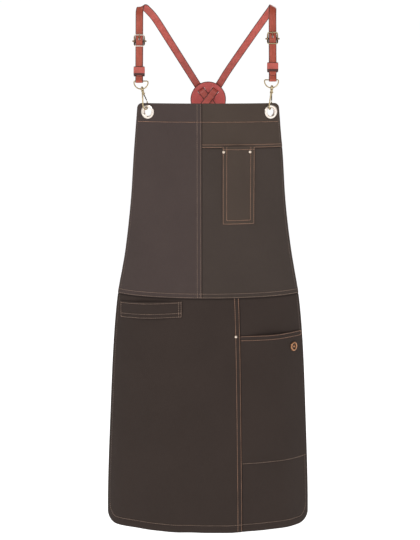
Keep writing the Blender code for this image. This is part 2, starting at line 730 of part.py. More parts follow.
def strap_route(side_name):
    """Centre points and width directions of a strap: its front, shoulder and back, middle over the
    disc, way down to the waist, and folded end at the ring."""
    sign, strap_x, _, eye_z, _, bar_up, _, _ = FRONTS[side_name]
    over = side_name == "right"
    place = Matrix.Translation((strap_x, EYE_Y, eye_z)) @ Euler((-LEAN, 0, 0)).to_matrix().to_4x4()
    across = Vector((1, 0, 0))
    bulge = PIN + GAP + CHAPE + GAP + STRAP / 2
    front = [
        (0.0078, TAIL), (0.022, TAIL), (0.045, TAIL), (bar_up - 0.0095, TAIL),
        (bar_up - 0.0052, TAIL + 0.0006), (bar_up - 0.0022, bulge - 0.0002),
        (bar_up, bulge), (bar_up + 0.0022, bulge - 0.0002), (bar_up + 0.0058, TAIL + 0.0004),
        (bar_up + 0.0095, TAIL), (bar_up + 0.020, TAIL), (0.128, TAIL),
    ]
    route = [(place @ Vector((0, -y, z)), across) for z, y in front]

    def mirrored(x, y, z):
        return Vector((-sign * x, y, z))

    def tilted(x, y, z):
        return Vector((x, -sign * y, -sign * z))

    if side_name == "left":
        shoulder = [
            (Vector((-0.1346, 0.0558, -0.0135)), tilted(1, 0, 0.10)),
            (Vector((-0.1326, 0.0602, -0.0066)), tilted(0.95, 0, 0.30)),
            (Vector((-0.1273, 0.0660, -0.0056)), tilted(0.90, 0, 0.43)),
            (Vector((-0.1208, 0.0715, -0.0100)), tilted(0.90, 0, 0.43)),
            (Vector((-0.1045, 0.0860, -0.0290)), tilted(0.90, 0, 0.43)),
            (Vector((-0.0765, 0.1250, -0.0745)), tilted(0.87, 0, 0.49)),
        ]
    else:
        shoulder = [
            (Vector((0.1266, 0.0532, -0.0135)), tilted(1, -0.08, 0.06)),
            (Vector((0.1271, 0.0588, -0.0068)), tilted(0.93, -0.20, 0.28)),
            (Vector((0.1270, 0.0660, -0.0046)), tilted(0.80, -0.40, 0.42)),
            (Vector((0.1232, 0.0740, -0.0112)), tilted(0.84, -0.22, 0.46)),
            (Vector((0.1144, 0.0850, -0.0240)), tilted(0.87, -0.05, 0.48)),
            (Vector((0.0797, 0.1250, -0.0745)), tilted(0.87, 0, 0.49)),
        ]
    upper = [*shoulder, (mirrored(-0.0420, 0.1760, -0.1310), tilted(0.82, 0, 0.57))]
    wide = tilted(0.80, 0, 0.60)
    distances = [-0.038, -0.030, -0.0258, -0.0229, -0.0200, -0.0165, -0.0135, -0.0095, -0.004]
    distances += [0.0, *[-d for d in reversed(distances)]]
    middle = []
    for distance in distances:
        x = CROSS.x * distance
        z = DISC_Z + CROSS.z * distance
        middle.append((mirrored(x, DISC_Y + disc_offset(distance, over), z), wide))

    origin, along, inner, rise = waist_axes(-sign)
    along = along * (1 if along.x * wide.x > 0 else -1)
    far = RING_HEIGHT
    fold = [(far + 0.034, -0.0012), (far + 0.022, -0.0012), (far + 0.012, -0.0016), (far + 0.004, -FOLD)]
    fold += [(far + z, y) for y, z in arc((0, 0), FOLD, 180, 360, 8)]
    fold += [(far + 0.004, FOLD), (far + 0.012, 0.0018), (far + 0.020, 0.0014), (far + 0.029, 0.0014)]
    end = [(origin + rise * z + inner * y, along) for z, y in fold]
    lower = [
        (mirrored(0.050, 0.2040, -0.270), tilted(0.79, 0.05, 0.58)),
        (mirrored(0.088, 0.1960, -0.335), tilted(0.78, 0.25, 0.50)),
        (mirrored(0.121, 0.1620, -0.410), tilted(0.75, 0.50, 0.30)),
        (mirrored(0.140, 0.1150, -0.475), along),
    ]
    return route, upper, middle, lower, end


def strap(side_name):
    """One long leather strap: a ribbon along its route, given its thickness."""
    tail, upper, middle, lower, end = strap_route(side_name)

    def smoothed(rows, count):
        joined = [[*point, *wide] for point, wide in rows]
        packed = smooth_rows(joined, count)
        return [(Vector(row[:3]), Vector(row[3:])) for row in packed]

    rows = [*tail[:-1], *smoothed([tail[-1], *upper, middle[0]], 3)[:-1], *middle[:-1]]
    rows += [*smoothed([middle[-1], *lower, end[0]], 3)[:-1], *end]
    bm = bmesh.new()
    bmesh.ops.create_grid(bm, x_segments=1, y_segments=len(rows) - 1, size=1)
    for vert in bm.verts:
        i = round((vert.co.y + 1) / 2 * (len(rows) - 1))
        before, after = rows[max(i - 1, 0)][0], rows[min(i + 1, len(rows) - 1)][0]
        along = (after - before).normalized()
        point, wide = rows[i]
        wide = (wide - along * wide.dot(along)).normalized()
        vert.co = point + wide * (STRAP_WIDTH / 2) * (1 if vert.co.x > 0 else -1)
    made = add("strap_" + side_name, mesh_from(bm, "strap", True), "leather")
    thick = made.modifiers.new("thickness", "SOLIDIFY")
    thick.thickness = STRAP
    thick.offset = 0
    thick.use_even_offset = True
    return made


def prong_slot(strap_piece, side_name, seat):
    """The punched hole that the prong goes through."""
    bm = box((-0.0014, -0.008, 0.0004), (0.0014, -0.0028, 0.0082))
    boolean(strap_piece, cutter("strap_hole_" + side_name, bm, seat))


def disc():
    """The leather disc where the straps cross, with four slits."""
    bm = cylinder(DISC_RADIUS, DISC, "Y", (0, DISC_Y, DISC_Z), 48)
    made = add("cross_disc", mesh_from(bm, "cross_disc"), "leather")
    start, stop, width = SLIT
    for number, (sx, sz) in enumerate(((1, 1), (-1, 1), (-1, -1), (1, -1))):
        direction = Vector((CROSS.x * sx, 0, CROSS.z * sz))
        bm = box((-width / 2, -0.01, start), (width / 2, 0.01, stop))
        wide = direction.cross(Vector((0, 1, 0)))
        turn = Matrix((wide, direction.cross(wide), direction)).transposed().to_4x4()
        bmesh.ops.transform(bm, matrix=Matrix.Translation((0, DISC_Y, DISC_Z)) @ turn, verts=bm.verts)
        bmesh.ops.recalc_face_normals(bm, faces=bm.faces)
        boolean(made, cutter(f"disc_slit_{number}", bm))


def waist_fitting(side_name, sign, strap_piece):
    """The tab and ring behind the waist, and the rivet that closes the strap's folded end."""
    origin, along, inner, rise = waist_axes(sign)
    axes = Matrix((along, inner, rise)).transposed()
    seat = empty("ring_seat_" + side_name, origin, axes.to_euler())
    half, corner = EYE_WIDTH / 2, 0.003
    outline = []
    for sx, z, start in ((1, RING_HEIGHT, 0), (-1, RING_HEIGHT, 90), (-1, 0, 180), (1, 0, 270)):
        inside = z - corner if z else corner
        outline += arc((sx * (half - corner), inside), corner, start, start + 90, 4)
    path = [(x, 0, z) for x, z in outline]
    name = "waist_ring_" + side_name
    add(name, mesh_from(wire_mesh(path, WIRE, closed=True), name, True), "brass", seat)

    upright = Matrix((along, Vector((0, 0, 1)).cross(along), Vector((0, 0, 1)))).transposed()
    hang = empty("tab_seat_" + side_name, origin, upright.to_euler())
    inside = WIRE + 0.0008

    def outline_of(extra, radius, low):
        flat_y = PINCH - 0.0001 + extra
        bend = arc((0, 0), radius, -20, 200, 10)
        return [(flat_y, low), (flat_y, -0.0065), *bend, (-flat_y, -0.0065), (-flat_y, low)]

    outer = outline_of(TAB / 2, inside + TAB, -0.026)
    inner_loop = outline_of(-TAB / 2, inside, -0.0075)
    extruded("waist_tab_" + side_name, (outer, inner_loop), 0.008, "skirt_canvas", hang)

    head = RING_HEIGHT + 0.022
    rivet_seat = empty("strap_rivet_seat_" + side_name, (0, 0, head), (pi / 2, 0, 0), seat)
    front, back = 0.0012 + STRAP / 2 + GAP, -(0.0014 + STRAP / 2 + GAP)
    turned("strap_rivet_" + side_name, [
        (0, front + 0.0012), (0.0020, front + 0.0009), (0.0031, front), (0.0011, front),
        (0.0011, back), (0.0031, back), (0.0020, back - 0.0009), (0, back - 0.0012),
    ], "brass", rivet_seat, steps=16)
    hole = cylinder(0.0015, 0.012, sides=12)
    boolean(strap_piece, cutter("strap_rivet_hole_" + side_name, hole, rivet_seat))


# ---- the apron ---------------------------------------------------------------------------
def main():
    cloth = bib_and_skirt()
    cloth.update(pockets())
    pinned = (cloth["chest_pocket"], cloth["bib_right_panel"])
    rivet("chest_rivet_left", *CHEST_RIVETS[0], pinned, proud=CANVAS + GAP)
    rivet("chest_rivet_right", *CHEST_RIVETS[1], pinned, proud=CANVAS + GAP)
    rivet("side_pocket_rivet", *SIDE_RIVET, (cloth["skirt_left_panel"],))
    badge(cloth["side_pocket"])
    eyelet("left", -1, (cloth["bib_left_panel"], cloth["bib_facing"]))
    eyelet("right", 1, (cloth["bib_yoke"], cloth["bib_facing"]))
    disc()
    for side_name, values in FRONTS.items():
        frame = front_frame(side_name)
        chape(side_name, frame, values[5])
        seat = buckle(side_name, frame, values[5])
        keeper(side_name, frame, values[6])
        snap_hook(side_name)
        piece = strap(side_name)
        prong_slot(piece, side_name, seat)
        other = "right" if side_name == "left" else "left"
        waist_fitting(other, -values[0], piece)


main()
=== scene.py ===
"""The looks of the butcher apron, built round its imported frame. Metres, +Z up, front towards -Y."""

from math import asin, cos, pi, radians, sin

import bmesh
import bpy
import numpy as np
from mathutils import Euler, Matrix, Vector


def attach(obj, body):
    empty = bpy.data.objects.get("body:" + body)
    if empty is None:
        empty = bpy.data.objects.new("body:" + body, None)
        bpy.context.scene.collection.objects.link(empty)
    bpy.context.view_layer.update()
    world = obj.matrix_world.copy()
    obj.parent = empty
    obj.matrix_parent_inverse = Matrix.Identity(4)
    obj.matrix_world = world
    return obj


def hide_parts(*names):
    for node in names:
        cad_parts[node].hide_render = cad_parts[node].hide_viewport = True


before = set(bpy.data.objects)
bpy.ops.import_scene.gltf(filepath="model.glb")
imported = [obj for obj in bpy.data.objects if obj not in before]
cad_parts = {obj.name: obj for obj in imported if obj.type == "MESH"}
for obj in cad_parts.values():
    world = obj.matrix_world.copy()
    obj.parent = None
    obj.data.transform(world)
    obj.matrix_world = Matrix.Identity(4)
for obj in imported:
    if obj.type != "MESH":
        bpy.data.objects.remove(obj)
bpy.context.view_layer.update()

# ---- sizes, the same as the CAD part's ---------------------------------------------------
CANVAS = 0.0012
WRAP = radians(70)
PROFILE = np.array([  # height, half width, depth
    (-0.150, 0.136, 0.048),
    (-0.192, 0.139, 0.050),
    (-0.290, 0.147, 0.058),
    (-0.385, 0.154, 0.074),
    (-0.485, 0.167, 0.095),
    (-0.585, 0.184, 0.112),
    (-0.685, 0.1935, 0.125),
    (-0.840, 0.2015, 0.132),
    (-0.990, 0.2075, 0.135),
    (-1.100, 0.2085, 0.136),
])
BIB_TOP, WAIST, HEM = -0.1925, -0.577, -1.0595
BIB_CORNER, HEM_CORNER = 0.009, 0.021
YOKE_SEAM = -0.2788
CENTRE_SEAM = -0.0132
SKIRT_SEAM = 0.309  # share of the half width
SEAM_LAP = 0.0045  # how far the skirt's left panel laps over its right one
FACING_LOW = -0.2295
CHEST_POCKET = (0.028, 0.0915, -0.2760, -0.430)
SIDE_POCKET = (-0.654, -0.918)
TOWEL_LOOP = (-0.176, -0.052, -0.583, -0.616, 0.009)
EYELET_ACROSS, EYELET_Z = {"left": 0.845, "right": 0.877}, -0.209  # across is a share of the half width
EYELET_HOLE, EYELET_OUTER = 0.0082, 0.0139
CHEST_RIVETS = ((0.0303, -0.287), (0.0818, -0.287))
SIDE_RIVET = (0.0553, -0.6555)
BADGE_AT, BADGE_RADIUS = (0.1710, -0.684), 0.0097

WIRE = 0.00125
EYE_WIDTH, EYE_DROP, EYE_Y = 0.0275, 0.0155, 0.0205
HOOK_WIRE, HOOK_HALF, HOOK_REST, HOOK_BACK = 0.0014, 0.0100, 0.0041, 0.0015
HOOK_ACROSS = {"left": -0.0035, "right": -0.0012}
STRAP_WIDTH, STRAP, CHAPE = 0.0150, 0.0020, 0.0018
GAP, PINCH, TAIL = 0.0004, 0.0011, 0.0034
LEAN = radians(14.6)
KEEPER = (0.0091, -0.0049, 0.0025, 0.0018, 0.018)
DISC_Y, DISC_Z, DISC_RADIUS, DISC = 0.200, -0.193, 0.0368, 0.0022
SLIT = (0.0196, 0.0262, 0.0154)
CROSS = Vector((0.60, 0.0, -0.80))
FRAME_HALF_WIDTH, FRAME_HALF_HEIGHT, FRAME_FRONT = 0.0095, 0.0111, -0.0063
FRAME_WIRE, PIN, PRONG = 0.0014, 0.0011, 0.0009
PRONG_TILT = radians(42)
# side, strap x, eye centre x, eye z, swivel x, bar above the eye, keeper above the eye, hook turn
FRONTS = {
    "left": (-1, -0.1348, -0.1312, -0.1495, -0.1288, 0.0798, 0.0190, radians(25)),
    "right": (1, 0.1263, 0.1240, -0.1470, 0.1247, 0.0820, 0.0246, radians(14)),
}
RING_ACROSS, RING_Z, RING_IN = 0.935, -0.560, 0.0062
RING_LEAN, RING_HEIGHT = radians(32), 0.014
TAB, FOLD = 0.0015, 0.0034

# ---- sizes of the finish -----------------------------------------------------------------
LAP = 0.00035  # how far a lapped seam stands up
LAP_WIDTH = 0.0095
UNDER = 0.00095  # how far the seam allowance lies below
STITCH, STITCH_GAP, THREAD = 0.0031, 0.0007, 0.00042
HEM_FOLD = 0.0155
SIDE_FOLD_SHARE = 0.030  # how much of the half width a folded side hem takes up, where the cloth runs back
SIDE_STITCH = 0.973  # where a side hem is stitched, as a share of the half width
STAND = 0.0062  # how far the pockets' mouths stand off


# ---- materials ---------------------------------------------------------------------------
def new_material(name, colour, roughness, metallic=0.0):
    made = bpy.data.materials.new(name)
    made.use_nodes = True
    nodes, links = made.node_tree.nodes, made.node_tree.links
    shader = nodes["Principled BSDF"]
    shader.inputs["Base Color"].default_value = (*colour, 1)
    shader.inputs["Roughness"].default_value = roughness
    shader.inputs["Metallic"].default_value = metallic
    return made, nodes, links, shader


def attribute(nodes, name):
    node = nodes.new("ShaderNodeAttribute")
    node.attribute_name = name
    return node


def noise(nodes, links, vector, scale, detail=4.0, roughness=0.55, distortion=0.0):
    node = nodes.new("ShaderNodeTexNoise")
    node.inputs["Scale"].default_value = scale
    node.inputs["Detail"].default_value = detail
    node.inputs["Roughness"].default_value = roughness
    node.inputs["Distortion"].default_value = distortion
    links.new(vector, node.inputs["Vector"])
    return node.outputs["Fac"]


def waves(nodes, links, vector, scale, direction, distortion=0.0):
    node = nodes.new("ShaderNodeTexWave")
    node.wave_type = "BANDS"
    node.bands_direction = direction
    node.inputs["Scale"].default_value = scale
    node.inputs["Distortion"].default_value = distortion
    node.inputs["Detail"].default_value = 1.0
    node.inputs["Detail Scale"].default_value = 2.0
    links.new(vector, node.inputs["Vector"])
    return node.outputs["Fac"]


def stretched(nodes, links, vector, scale):
    node = nodes.new("ShaderNodeMapping")
    node.inputs["Scale"].default_value = scale
    links.new(vector, node.inputs["Vector"])
    return node.outputs["Vector"]


def ranged(nodes, links, value, low, high, to_low=0.0, to_high=1.0):
    node = nodes.new("ShaderNodeMapRange")
    for key, number in (("From Min", low), ("From Max", high), ("To Min", to_low), ("To Max", to_high)):
        node.inputs[key].default_value = number
    links.new(value, node.inputs["Value"])
    return node.outputs["Result"]


def maths(nodes, links, operation, first, second):
    node = nodes.new("ShaderNodeMath")
    node.operation = operation
    for socket, value in zip(node.inputs, (first, second)):
        if isinstance(value, (int, float)):
            socket.default_value = value
        else:
            links.new(value, socket)
    return node.outputs["Value"]


def mixed(nodes, links, factor, first, second, blend="MIX"):
    node = nodes.new("ShaderNodeMix")
    node.data_type = "RGBA"
    node.blend_type = blend
    links.new(factor, node.inputs["Factor"])
    for socket, value in ((node.inputs["A"], first), (node.inputs["B"], second)):
        if isinstance(value, tuple):
            socket.default_value = (*value, 1)
        else:
            links.new(value, socket)
    return node.outputs["Result"]


def bump(nodes, links, height, strength, distance, normal=None):
    node = nodes.new("ShaderNodeBump")
    node.inputs["Strength"].default_value = strength
    node.inputs["Distance"].default_value = distance
    links.new(height, node.inputs["Height"])
    if normal:
        links.new(normal, node.inputs["Normal"])
    return node.outputs["Normal"]


def scaled(colour, factor):
    return tuple(min(1.0, value * factor) for value in colour)


def canvas_material(name, colour):
    """Heavy washed twill: diagonal weave, slubs, soft mottling, paler rubbed ridges at its seams, and painted
    shade beside lapped edges.
    """
    made, nodes, links, shader = new_material(name, colour, 0.88)
    place = attribute(nodes, "weave").outputs["Vector"]
    worn = attribute(nodes, "worn").outputs["Fac"]
    turned = nodes.new("ShaderNodeMapping")
    turned.inputs["Rotation"].default_value = (0, 0, radians(-52))
    links.new(place, turned.inputs["Vector"])
    twill = waves(nodes, links, turned.outputs["Vector"], 420.0, "X", 0.6)
    threads = waves(nodes, links, place, 520.0, "X", 0.3)
    slub = noise(nodes, links, stretched(nodes, links, place, (1100.0, 90.0, 1.0)), 1.0, 3.0)
    cross_slub = noise(nodes, links, stretched(nodes, links, place, (70.0, 900.0, 1.0)), 1.0, 2.0)
    cloud = noise(nodes, links, place, 9.0, 3.0, 0.6)
    fibre = noise(nodes, links, place, 700.0, 2.0)
    tone = mixed(nodes, links, ranged(nodes, links, cloud, 0.3, 0.7), scaled(colour, 0.93),
        scaled(colour, 1.07))
    tone = mixed(nodes, links, ranged(nodes, links, slub, 0.35, 0.75, 0.0, 0.45), tone, scaled(colour, 1.35))
    tone = mixed(nodes, links, ranged(nodes, links, twill, 0.0, 0.45, 0.42, 0.0), tone, scaled(colour, 0.55))
    wear = maths(nodes, links, "MULTIPLY", worn, ranged(nodes, links, fibre, 0.3, 0.7, 0.25, 1.0))
    tone = mixed(nodes, links, wear, tone, scaled(colour, 1.9))
    # Painted shade: negative values of the cloth's attribute darken it, standing in for the shadow beside a
    # lapped edge; positive values are paler wear.
    tone = mixed(nodes, links, ranged(nodes, links, worn, 0.0, -1.0), tone, scaled(colour, 0.25))
    links.new(tone, shader.inputs["Base Color"])
    links.new(ranged(nodes, links, cross_slub, 0.3, 0.7, 0.80, 0.93), shader.inputs["Roughness"])
    shader.inputs["Specular IOR Level"].default_value = 0.14
    shader.inputs["Sheen Weight"].default_value = 0.02
    shader.inputs["Sheen Roughness"].default_value = 0.5
    shader.inputs["Sheen Tint"].default_value = (0.80, 0.70, 0.64, 1)
    height = maths(nodes, links, "ADD", twill, maths(nodes, links, "MULTIPLY", threads, 0.35))
    height = maths(nodes, links, "ADD", height, maths(nodes, links, "MULTIPLY", slub, 0.8))
    links.new(bump(nodes, links, height, 0.35, 0.00025), shader.inputs["Normal"])
    return made


def thread_material(name, colour):
    """Waxed thread with a twist, faded here and there."""
    made, nodes, links, shader = new_material(name, colour, 0.6)
    place = attribute(nodes, "weave").outputs["Vector"]
    twist = waves(nodes, links, place, 900.0, "DIAGONAL", 0.4)
    cloud = noise(nodes, links, place, 60.0, 2.0)
    tone = mixed(nodes, links, ranged(nodes, links, cloud, 0.3, 0.7), scaled(colour, 0.72),
        scaled(colour, 1.25))
    tone = mixed(nodes, links, ranged(nodes, links, twist, 0.0, 0.5, 0.4, 0.0), tone, scaled(colour, 0.5))
    links.new(tone, shader.inputs["Base Color"])
    shader.inputs["Sheen Weight"].default_value = 0.15
    links.new(bump(nodes, links, twist, 0.5, 0.0002), shader.inputs["Normal"])
    return made


def leather_material(name, colour, inner_colour, dark=(0.060, 0.014, 0.010)):
    """Waxed terracotta leather: grain, cloudy tone, a pinker inner side and dark burnished edges; on the
    keepers the edge mark also carries painted shade.
    """
    made, nodes, links, shader = new_material(name, colour, 0.4)
    place = attribute(nodes, "weave").outputs["Vector"]
    edge = attribute(nodes, "edge").outputs["Fac"]
    inner = attribute(nodes, "inner").outputs["Fac"]
    cells = nodes.new("ShaderNodeTexVoronoi")
    cells.feature = "DISTANCE_TO_EDGE"
    cells.inputs["Scale"].default_value = 1150.0
    cells.inputs["Randomness"].default_value = 1.0
    links.new(place, cells.inputs["Vector"])
    grain = ranged(nodes, links, cells.outputs["Distance"], 0.0, 0.28)
    cloud = noise(nodes, links, place, 55.0, 4.0, 0.6, 0.3)
    streak = noise(nodes, links, stretched(nodes, links, place, (420.0, 60.0, 200.0)), 1.0, 3.0)
    fine = noise(nodes, links, place, 900.0, 3.0)
    base = mixed(nodes, links, inner, colour, inner_colour)
    tone = mixed(nodes, links, ranged(nodes, links, cloud, 0.3, 0.7, 0.0, 0.60), base, scaled(colour, 0.62))
    tone = mixed(nodes, links, ranged(nodes, links, streak, 0.5, 0.8, 0.0, 0.35), tone,
        scaled(inner_colour, 1.3))
    tone = mixed(nodes, links, ranged(nodes, links, grain, 0.0, 0.5, 0.30, 0.0), tone, scaled(colour, 0.45))
    rough_edge = maths(nodes, links, "ADD", edge, ranged(nodes, links, cloud, 0.3, 0.7, -0.12, 0.12))
    tone = mixed(nodes, links, ranged(nodes, links, rough_edge, 0.35, 0.75), tone, dark)
    links.new(tone, shader.inputs["Base Color"])
    links.new(ranged(nodes, links, streak, 0.25, 0.75, 0.34, 0.50), shader.inputs["Roughness"])
    shader.inputs["Specular IOR Level"].default_value = 0.36
    shader.inputs["Coat Weight"].default_value = 0.08
    shader.inputs["Coat Roughness"].default_value = 0.35
    height = maths(nodes, links, "ADD", grain, maths(nodes, links, "MULTIPLY", fine, 0.6))
    links.new(bump(nodes, links, height, 0.30, 0.00018), shader.inputs["Normal"])
    return made


def metal_material(name, colour, roughness, dark, wear=0.5, scratch=0.25):
    """Cast or drawn metal: fine scratches, soft tarnish, and cleaner metal where it rubs."""
    made, nodes, links, shader = new_material(name, colour, roughness, 1.0)
    coordinates = nodes.new("ShaderNodeTexCoord")
    place = coordinates.outputs["Object"]
    cloud = noise(nodes, links, place, 160.0, 4.0, 0.6, 0.2)
    fine = noise(nodes, links, place, 1400.0, 3.0)
    marks = noise(nodes, links, stretched(nodes, links, place, (2600.0, 2600.0, 240.0)), 1.0, 2.0)
    tone = mixed(nodes, links, ranged(nodes, links, cloud, 0.42, 0.68, 0.0, wear), colour, dark)
    links.new(tone, shader.inputs["Base Color"])
    links.new(ranged(nodes, links, fine, 0.3, 0.7, roughness - 0.06, roughness + 0.10),
        shader.inputs["Roughness"])
    links.new(bump(nodes, links, marks, scratch, 0.00004), shader.inputs["Normal"])
    return made


def stage_material():
    made, nodes, links, shader = new_material("pale_floor", (0.9, 0.9, 0.9), 0.9)
    place = nodes.new("ShaderNodeTexCoord").outputs["Object"]
    tone = mixed(nodes, links, noise(nodes, links, place, 0.8, 2.0), (0.88, 0.88, 0.88), (0.92, 0.92, 0.92))
    links.new(tone, shader.inputs["Base Color"])
    shader.inputs["Specular IOR Level"].default_value = 0.0
    shader.inputs["Emission Color"].default_value = (1, 1, 1, 1)
    shader.inputs["Emission Strength"].default_value = 0.75
    return made


BIB_CLOTH = canvas_material("bib_canvas_twill", (0.0607, 0.044, 0.040))
BIB_SHADE = canvas_material("bib_canvas_browner", (0.0515, 0.0385, 0.0325))
BIB_WARM = canvas_material("bib_canvas_warmer", (0.062, 0.0450, 0.0358))
SKIRT_CLOTH = canvas_material("skirt_canvas_twill", (0.0370, 0.0260, 0.0218))
COPPER_THREAD = thread_material("copper_thread", (0.40, 0.21, 0.13))
FADED_THREAD = thread_material("faded_thread", (0.27, 0.175, 0.125))
DULL_THREAD = thread_material("dull_thread", (0.13, 0.086, 0.066))
LEATHER = leather_material("terracotta_leather", (0.40, 0.074, 0.040), (0.58, 0.120, 0.100))
DISC_LEATHER = leather_material("disc_leather", (0.64, 0.110, 0.100), (0.64, 0.110, 0.100),
    (0.12, 0.022, 0.016))
# Pale brass for the eyes, hooks and rings; it also serves as a painted highlight on the right buckle's top
# and bottom bars.
PALE_BRASS_AND_HIGHLIGHT = metal_material("pale_brass_and_painted_highlight", (0.46, 0.37, 0.22), 0.22, (0.22, 0.16, 0.09), 0.55)
# Nickel-white for the eyelets; it also serves as a painted highlight on the left buckle's top and bottom
# bars.
EYELET_NICKEL_AND_HIGHLIGHT = metal_material("eyelet_nickel_and_painted_highlight", (0.80, 0.72, 0.65), 0.24, (0.58, 0.48, 0.40), 0.45)
# Near-black metal for the hooks' gates.
NEAR_BLACK_BRASS = metal_material("near_black_brass", (0.085, 0.065, 0.045), 0.30, (0.20, 0.15, 0.09), 0.45)
DARK_BRASS = metal_material("dark_brass_aged", (0.20, 0.13, 0.08), 0.28, (0.55, 0.42, 0.26), 0.45)
COPPER = metal_material("copper_warm", (0.42, 0.21, 0.11), 0.30, (0.17, 0.08, 0.045), 0.60)
BADGE_DARK = metal_material("badge_dark_enamel", (0.060, 0.045, 0.038), 0.42, (0.11, 0.07, 0.05), 0.5)
RIVET_METAL = metal_material("rivet_pale", (0.84, 0.72, 0.60), 0.26, (0.45, 0.33, 0.24), 0.4)


# ---- meshes ------------------------------------------------------------------------------
def mesh_object(name, verts, faces, finish, attributes=(), smooth=True):
    data = bpy.data.meshes.new(name)
    data.from_pydata([tuple(v) for v in np.asarray(verts, float)], [], [tuple(f) for f in faces])
    for key, values in dict(attributes).items():
        values = np.asarray(values, np.float32)
        kind = "FLOAT_VECTOR" if values.ndim == 2 else "FLOAT"
        layer = data.attributes.new(key, kind, "POINT")
        layer.data.foreach_set("vector" if values.ndim == 2 else "value", values.ravel())
    bm = bmesh.new()
    bm.from_mesh(data)
    bmesh.ops.remove_doubles(bm, verts=bm.verts, dist=0.000001)
    bmesh.ops.recalc_face_normals(bm, faces=bm.faces)
    bm.to_mesh(data)
    bm.free()
    if smooth:
        data.shade_smooth()
    data.materials.append(finish)
    made = bpy.data.objects.new(name, data)
    bpy.context.scene.collection.objects.link(made)
    return made


def joined(blocks):
    """Several (verts, faces, attributes) as one."""
    verts, faces, layers, start = [], [], {}, 0
    for block_verts, block_faces, attributes in blocks:
        verts.append(block_verts)
        faces += [[i + start for i in face] for face in block_faces]
        for key, values in attributes.items():
            layers.setdefault(key, []).append(values)
        start += len(block_verts)
    return np.concatenate(verts), faces, {key: np.concatenate(parts) for key, parts in layers.items()}


def loft(rings, closed=False, caps=True):
    """Faces between rings of equal length, given as an array (rings, points, 3)."""
    count, around = rings.shape[:2]
    last = count if closed else count - 1
    faces = [
        [i * around + j, i * around + (j + 1) % around,
         ((i + 1) % count) * around + (j + 1) % around, ((i + 1) % count) * around + j]
        for i in range(last)
        for j in range(around)
    ]
    if caps and not closed:
        faces.append(list(range(around))[::-1])
        faces.append([(count - 1) * around + j for j in range(around)])
    return rings.reshape(-1, 3), faces


def smoothstep(low, high, value):
    share = np.clip((np.asarray(value, float) - low) / (high - low), 0, 1)
    return share * share * (3 - 2 * share)


def cut(target, tool_verts, tool_faces):
    """Takes a closed solid out of a piece, and applies the cut."""
    tool = mesh_object("cutting_tool", tool_verts, tool_faces, None, smooth=False)
    modifier = target.modifiers.new("cut", "BOOLEAN")
    modifier.operation = "DIFFERENCE"
    modifier.solver = "EXACT"
    modifier.object = tool
    graph = bpy.context.evaluated_depsgraph_get()
    data = bpy.data.meshes.new_from_object(target.evaluated_get(graph))
    target.modifiers.remove(modifier)
    old = target.data
    target.data = data
    data.name = old.name
    bpy.data.meshes.remove(old)
    bpy.data.objects.remove(tool, do_unlink=True)


def cylinder_mesh(matrix, radius, length, sides=48):
    angles = np.linspace(0, 2 * pi, sides, endpoint=False)
    ring = np.stack([radius * np.cos(angles), radius * np.sin(angles), np.zeros(sides)], 1)
    rings = np.stack([ring + (0, 0, -length / 2), ring + (0, 0, length / 2)])
    verts, faces = loft(rings)
    return moved(matrix, verts), faces


def box_mesh(matrix, low, high):
    xs, ys, zs = zip(low, high)
    verts = [(x, y, z) for x in xs for y in ys for z in zs]
    faces = [(0, 1, 3, 2), (4, 6, 7, 5), (0, 4, 5, 1), (2, 3, 7, 6), (0, 2, 6, 4), (1, 5, 7, 3)]
    return moved(matrix, np.array(verts)), faces


def moved(matrix, verts):
    turn = np.array(matrix.to_3x3())
    return np.asarray(verts) @ turn.T + np.array(matrix.translation)


def tube(path, radius, sides=14, closed=False, flatten=None):
    """A round bar along a path. radius is one number or one a point; flatten thins it along a direction."""
    path = np.asarray(path, float)
    count = len(path)
    radius = np.broadcast_to(radius, (count,))
    if closed:
        along = np.roll(path, -1, 0) - np.roll(path, 1, 0)
    else:
        along = np.gradient(path, axis=0)
    along /= np.linalg.norm(along, axis=1)[:, None]
    side = np.cross(along[0], (1, 0, 0) if abs(along[0][0]) < 0.8 else (0, 1, 0))
    rings = []
    for i in range(count):
        side = side - along[i] * side.dot(along[i])
        side /= np.linalg.norm(side)
        other = np.cross(along[i], side)
        angles = np.linspace(0, 2 * pi, sides, endpoint=False)
        ring = radius[i] * (np.outer(np.cos(angles), side) + np.outer(np.sin(angles), other))
        if flatten is not None:
            direction, keep = np.asarray(flatten[0], float), flatten[1]
            ring -= np.outer(ring @ direction, direction) * (1 - keep)
        rings.append(path[i] + ring)
    return loft(np.array(rings), closed)


def lathe(profile, sides=48):
    """A profile of (radius, height) points turned about Z."""
    angles = np.linspace(0, 2 * pi, sides, endpoint=False)
    rings = [np.stack([r * np.cos(angles), r * np.sin(angles), np.full(sides, h)], 1) for r, h in profile]
    closed = profile[0] == profile[-1]
    return loft(np.array(rings[:-1] if closed else rings), closed)


def arc(centre, radius, start, stop, count):
    angles = [radians(start + (stop - start) * i / count) for i in range(count + 1)]
    return [(centre[0] + radius * cos(a), centre[1] + radius * sin(a)) for a in angles]


def smooth_rows(rows, count):
    """A Catmull-Rom curve through rows of any number of values."""
    rows = [np.asarray(row, float) for row in rows]
    ends = [2 * rows[0] - rows[1], *rows, 2 * rows[-1] - rows[-2]]
    path = []
    for a, b, c, d in zip(ends, ends[1:], ends[2:], ends[3:]):
        for t in np.arange(count) / count:
            bend = (2 * a - 5 * b + 4 * c - d) * t**2 + (3 * b - a - 3 * c + d) * t**3
            path.append(0.5 * (2 * b + (c - a) * t + bend))
    return [*path, rows[-1]]


def spaced(path, step):
    """Points a step apart along a polyline."""
    path = np.asarray(path, float)
    run = np.concatenate([[0], np.cumsum(np.linalg.norm(np.diff(path[:, :3], axis=0), axis=1))])
    at = np.linspace(0, run[-1], max(2, round(run[-1] / step)))
    return np.stack([np.interp(at, run, path[:, k]) for k in range(path.shape[1])], 1)


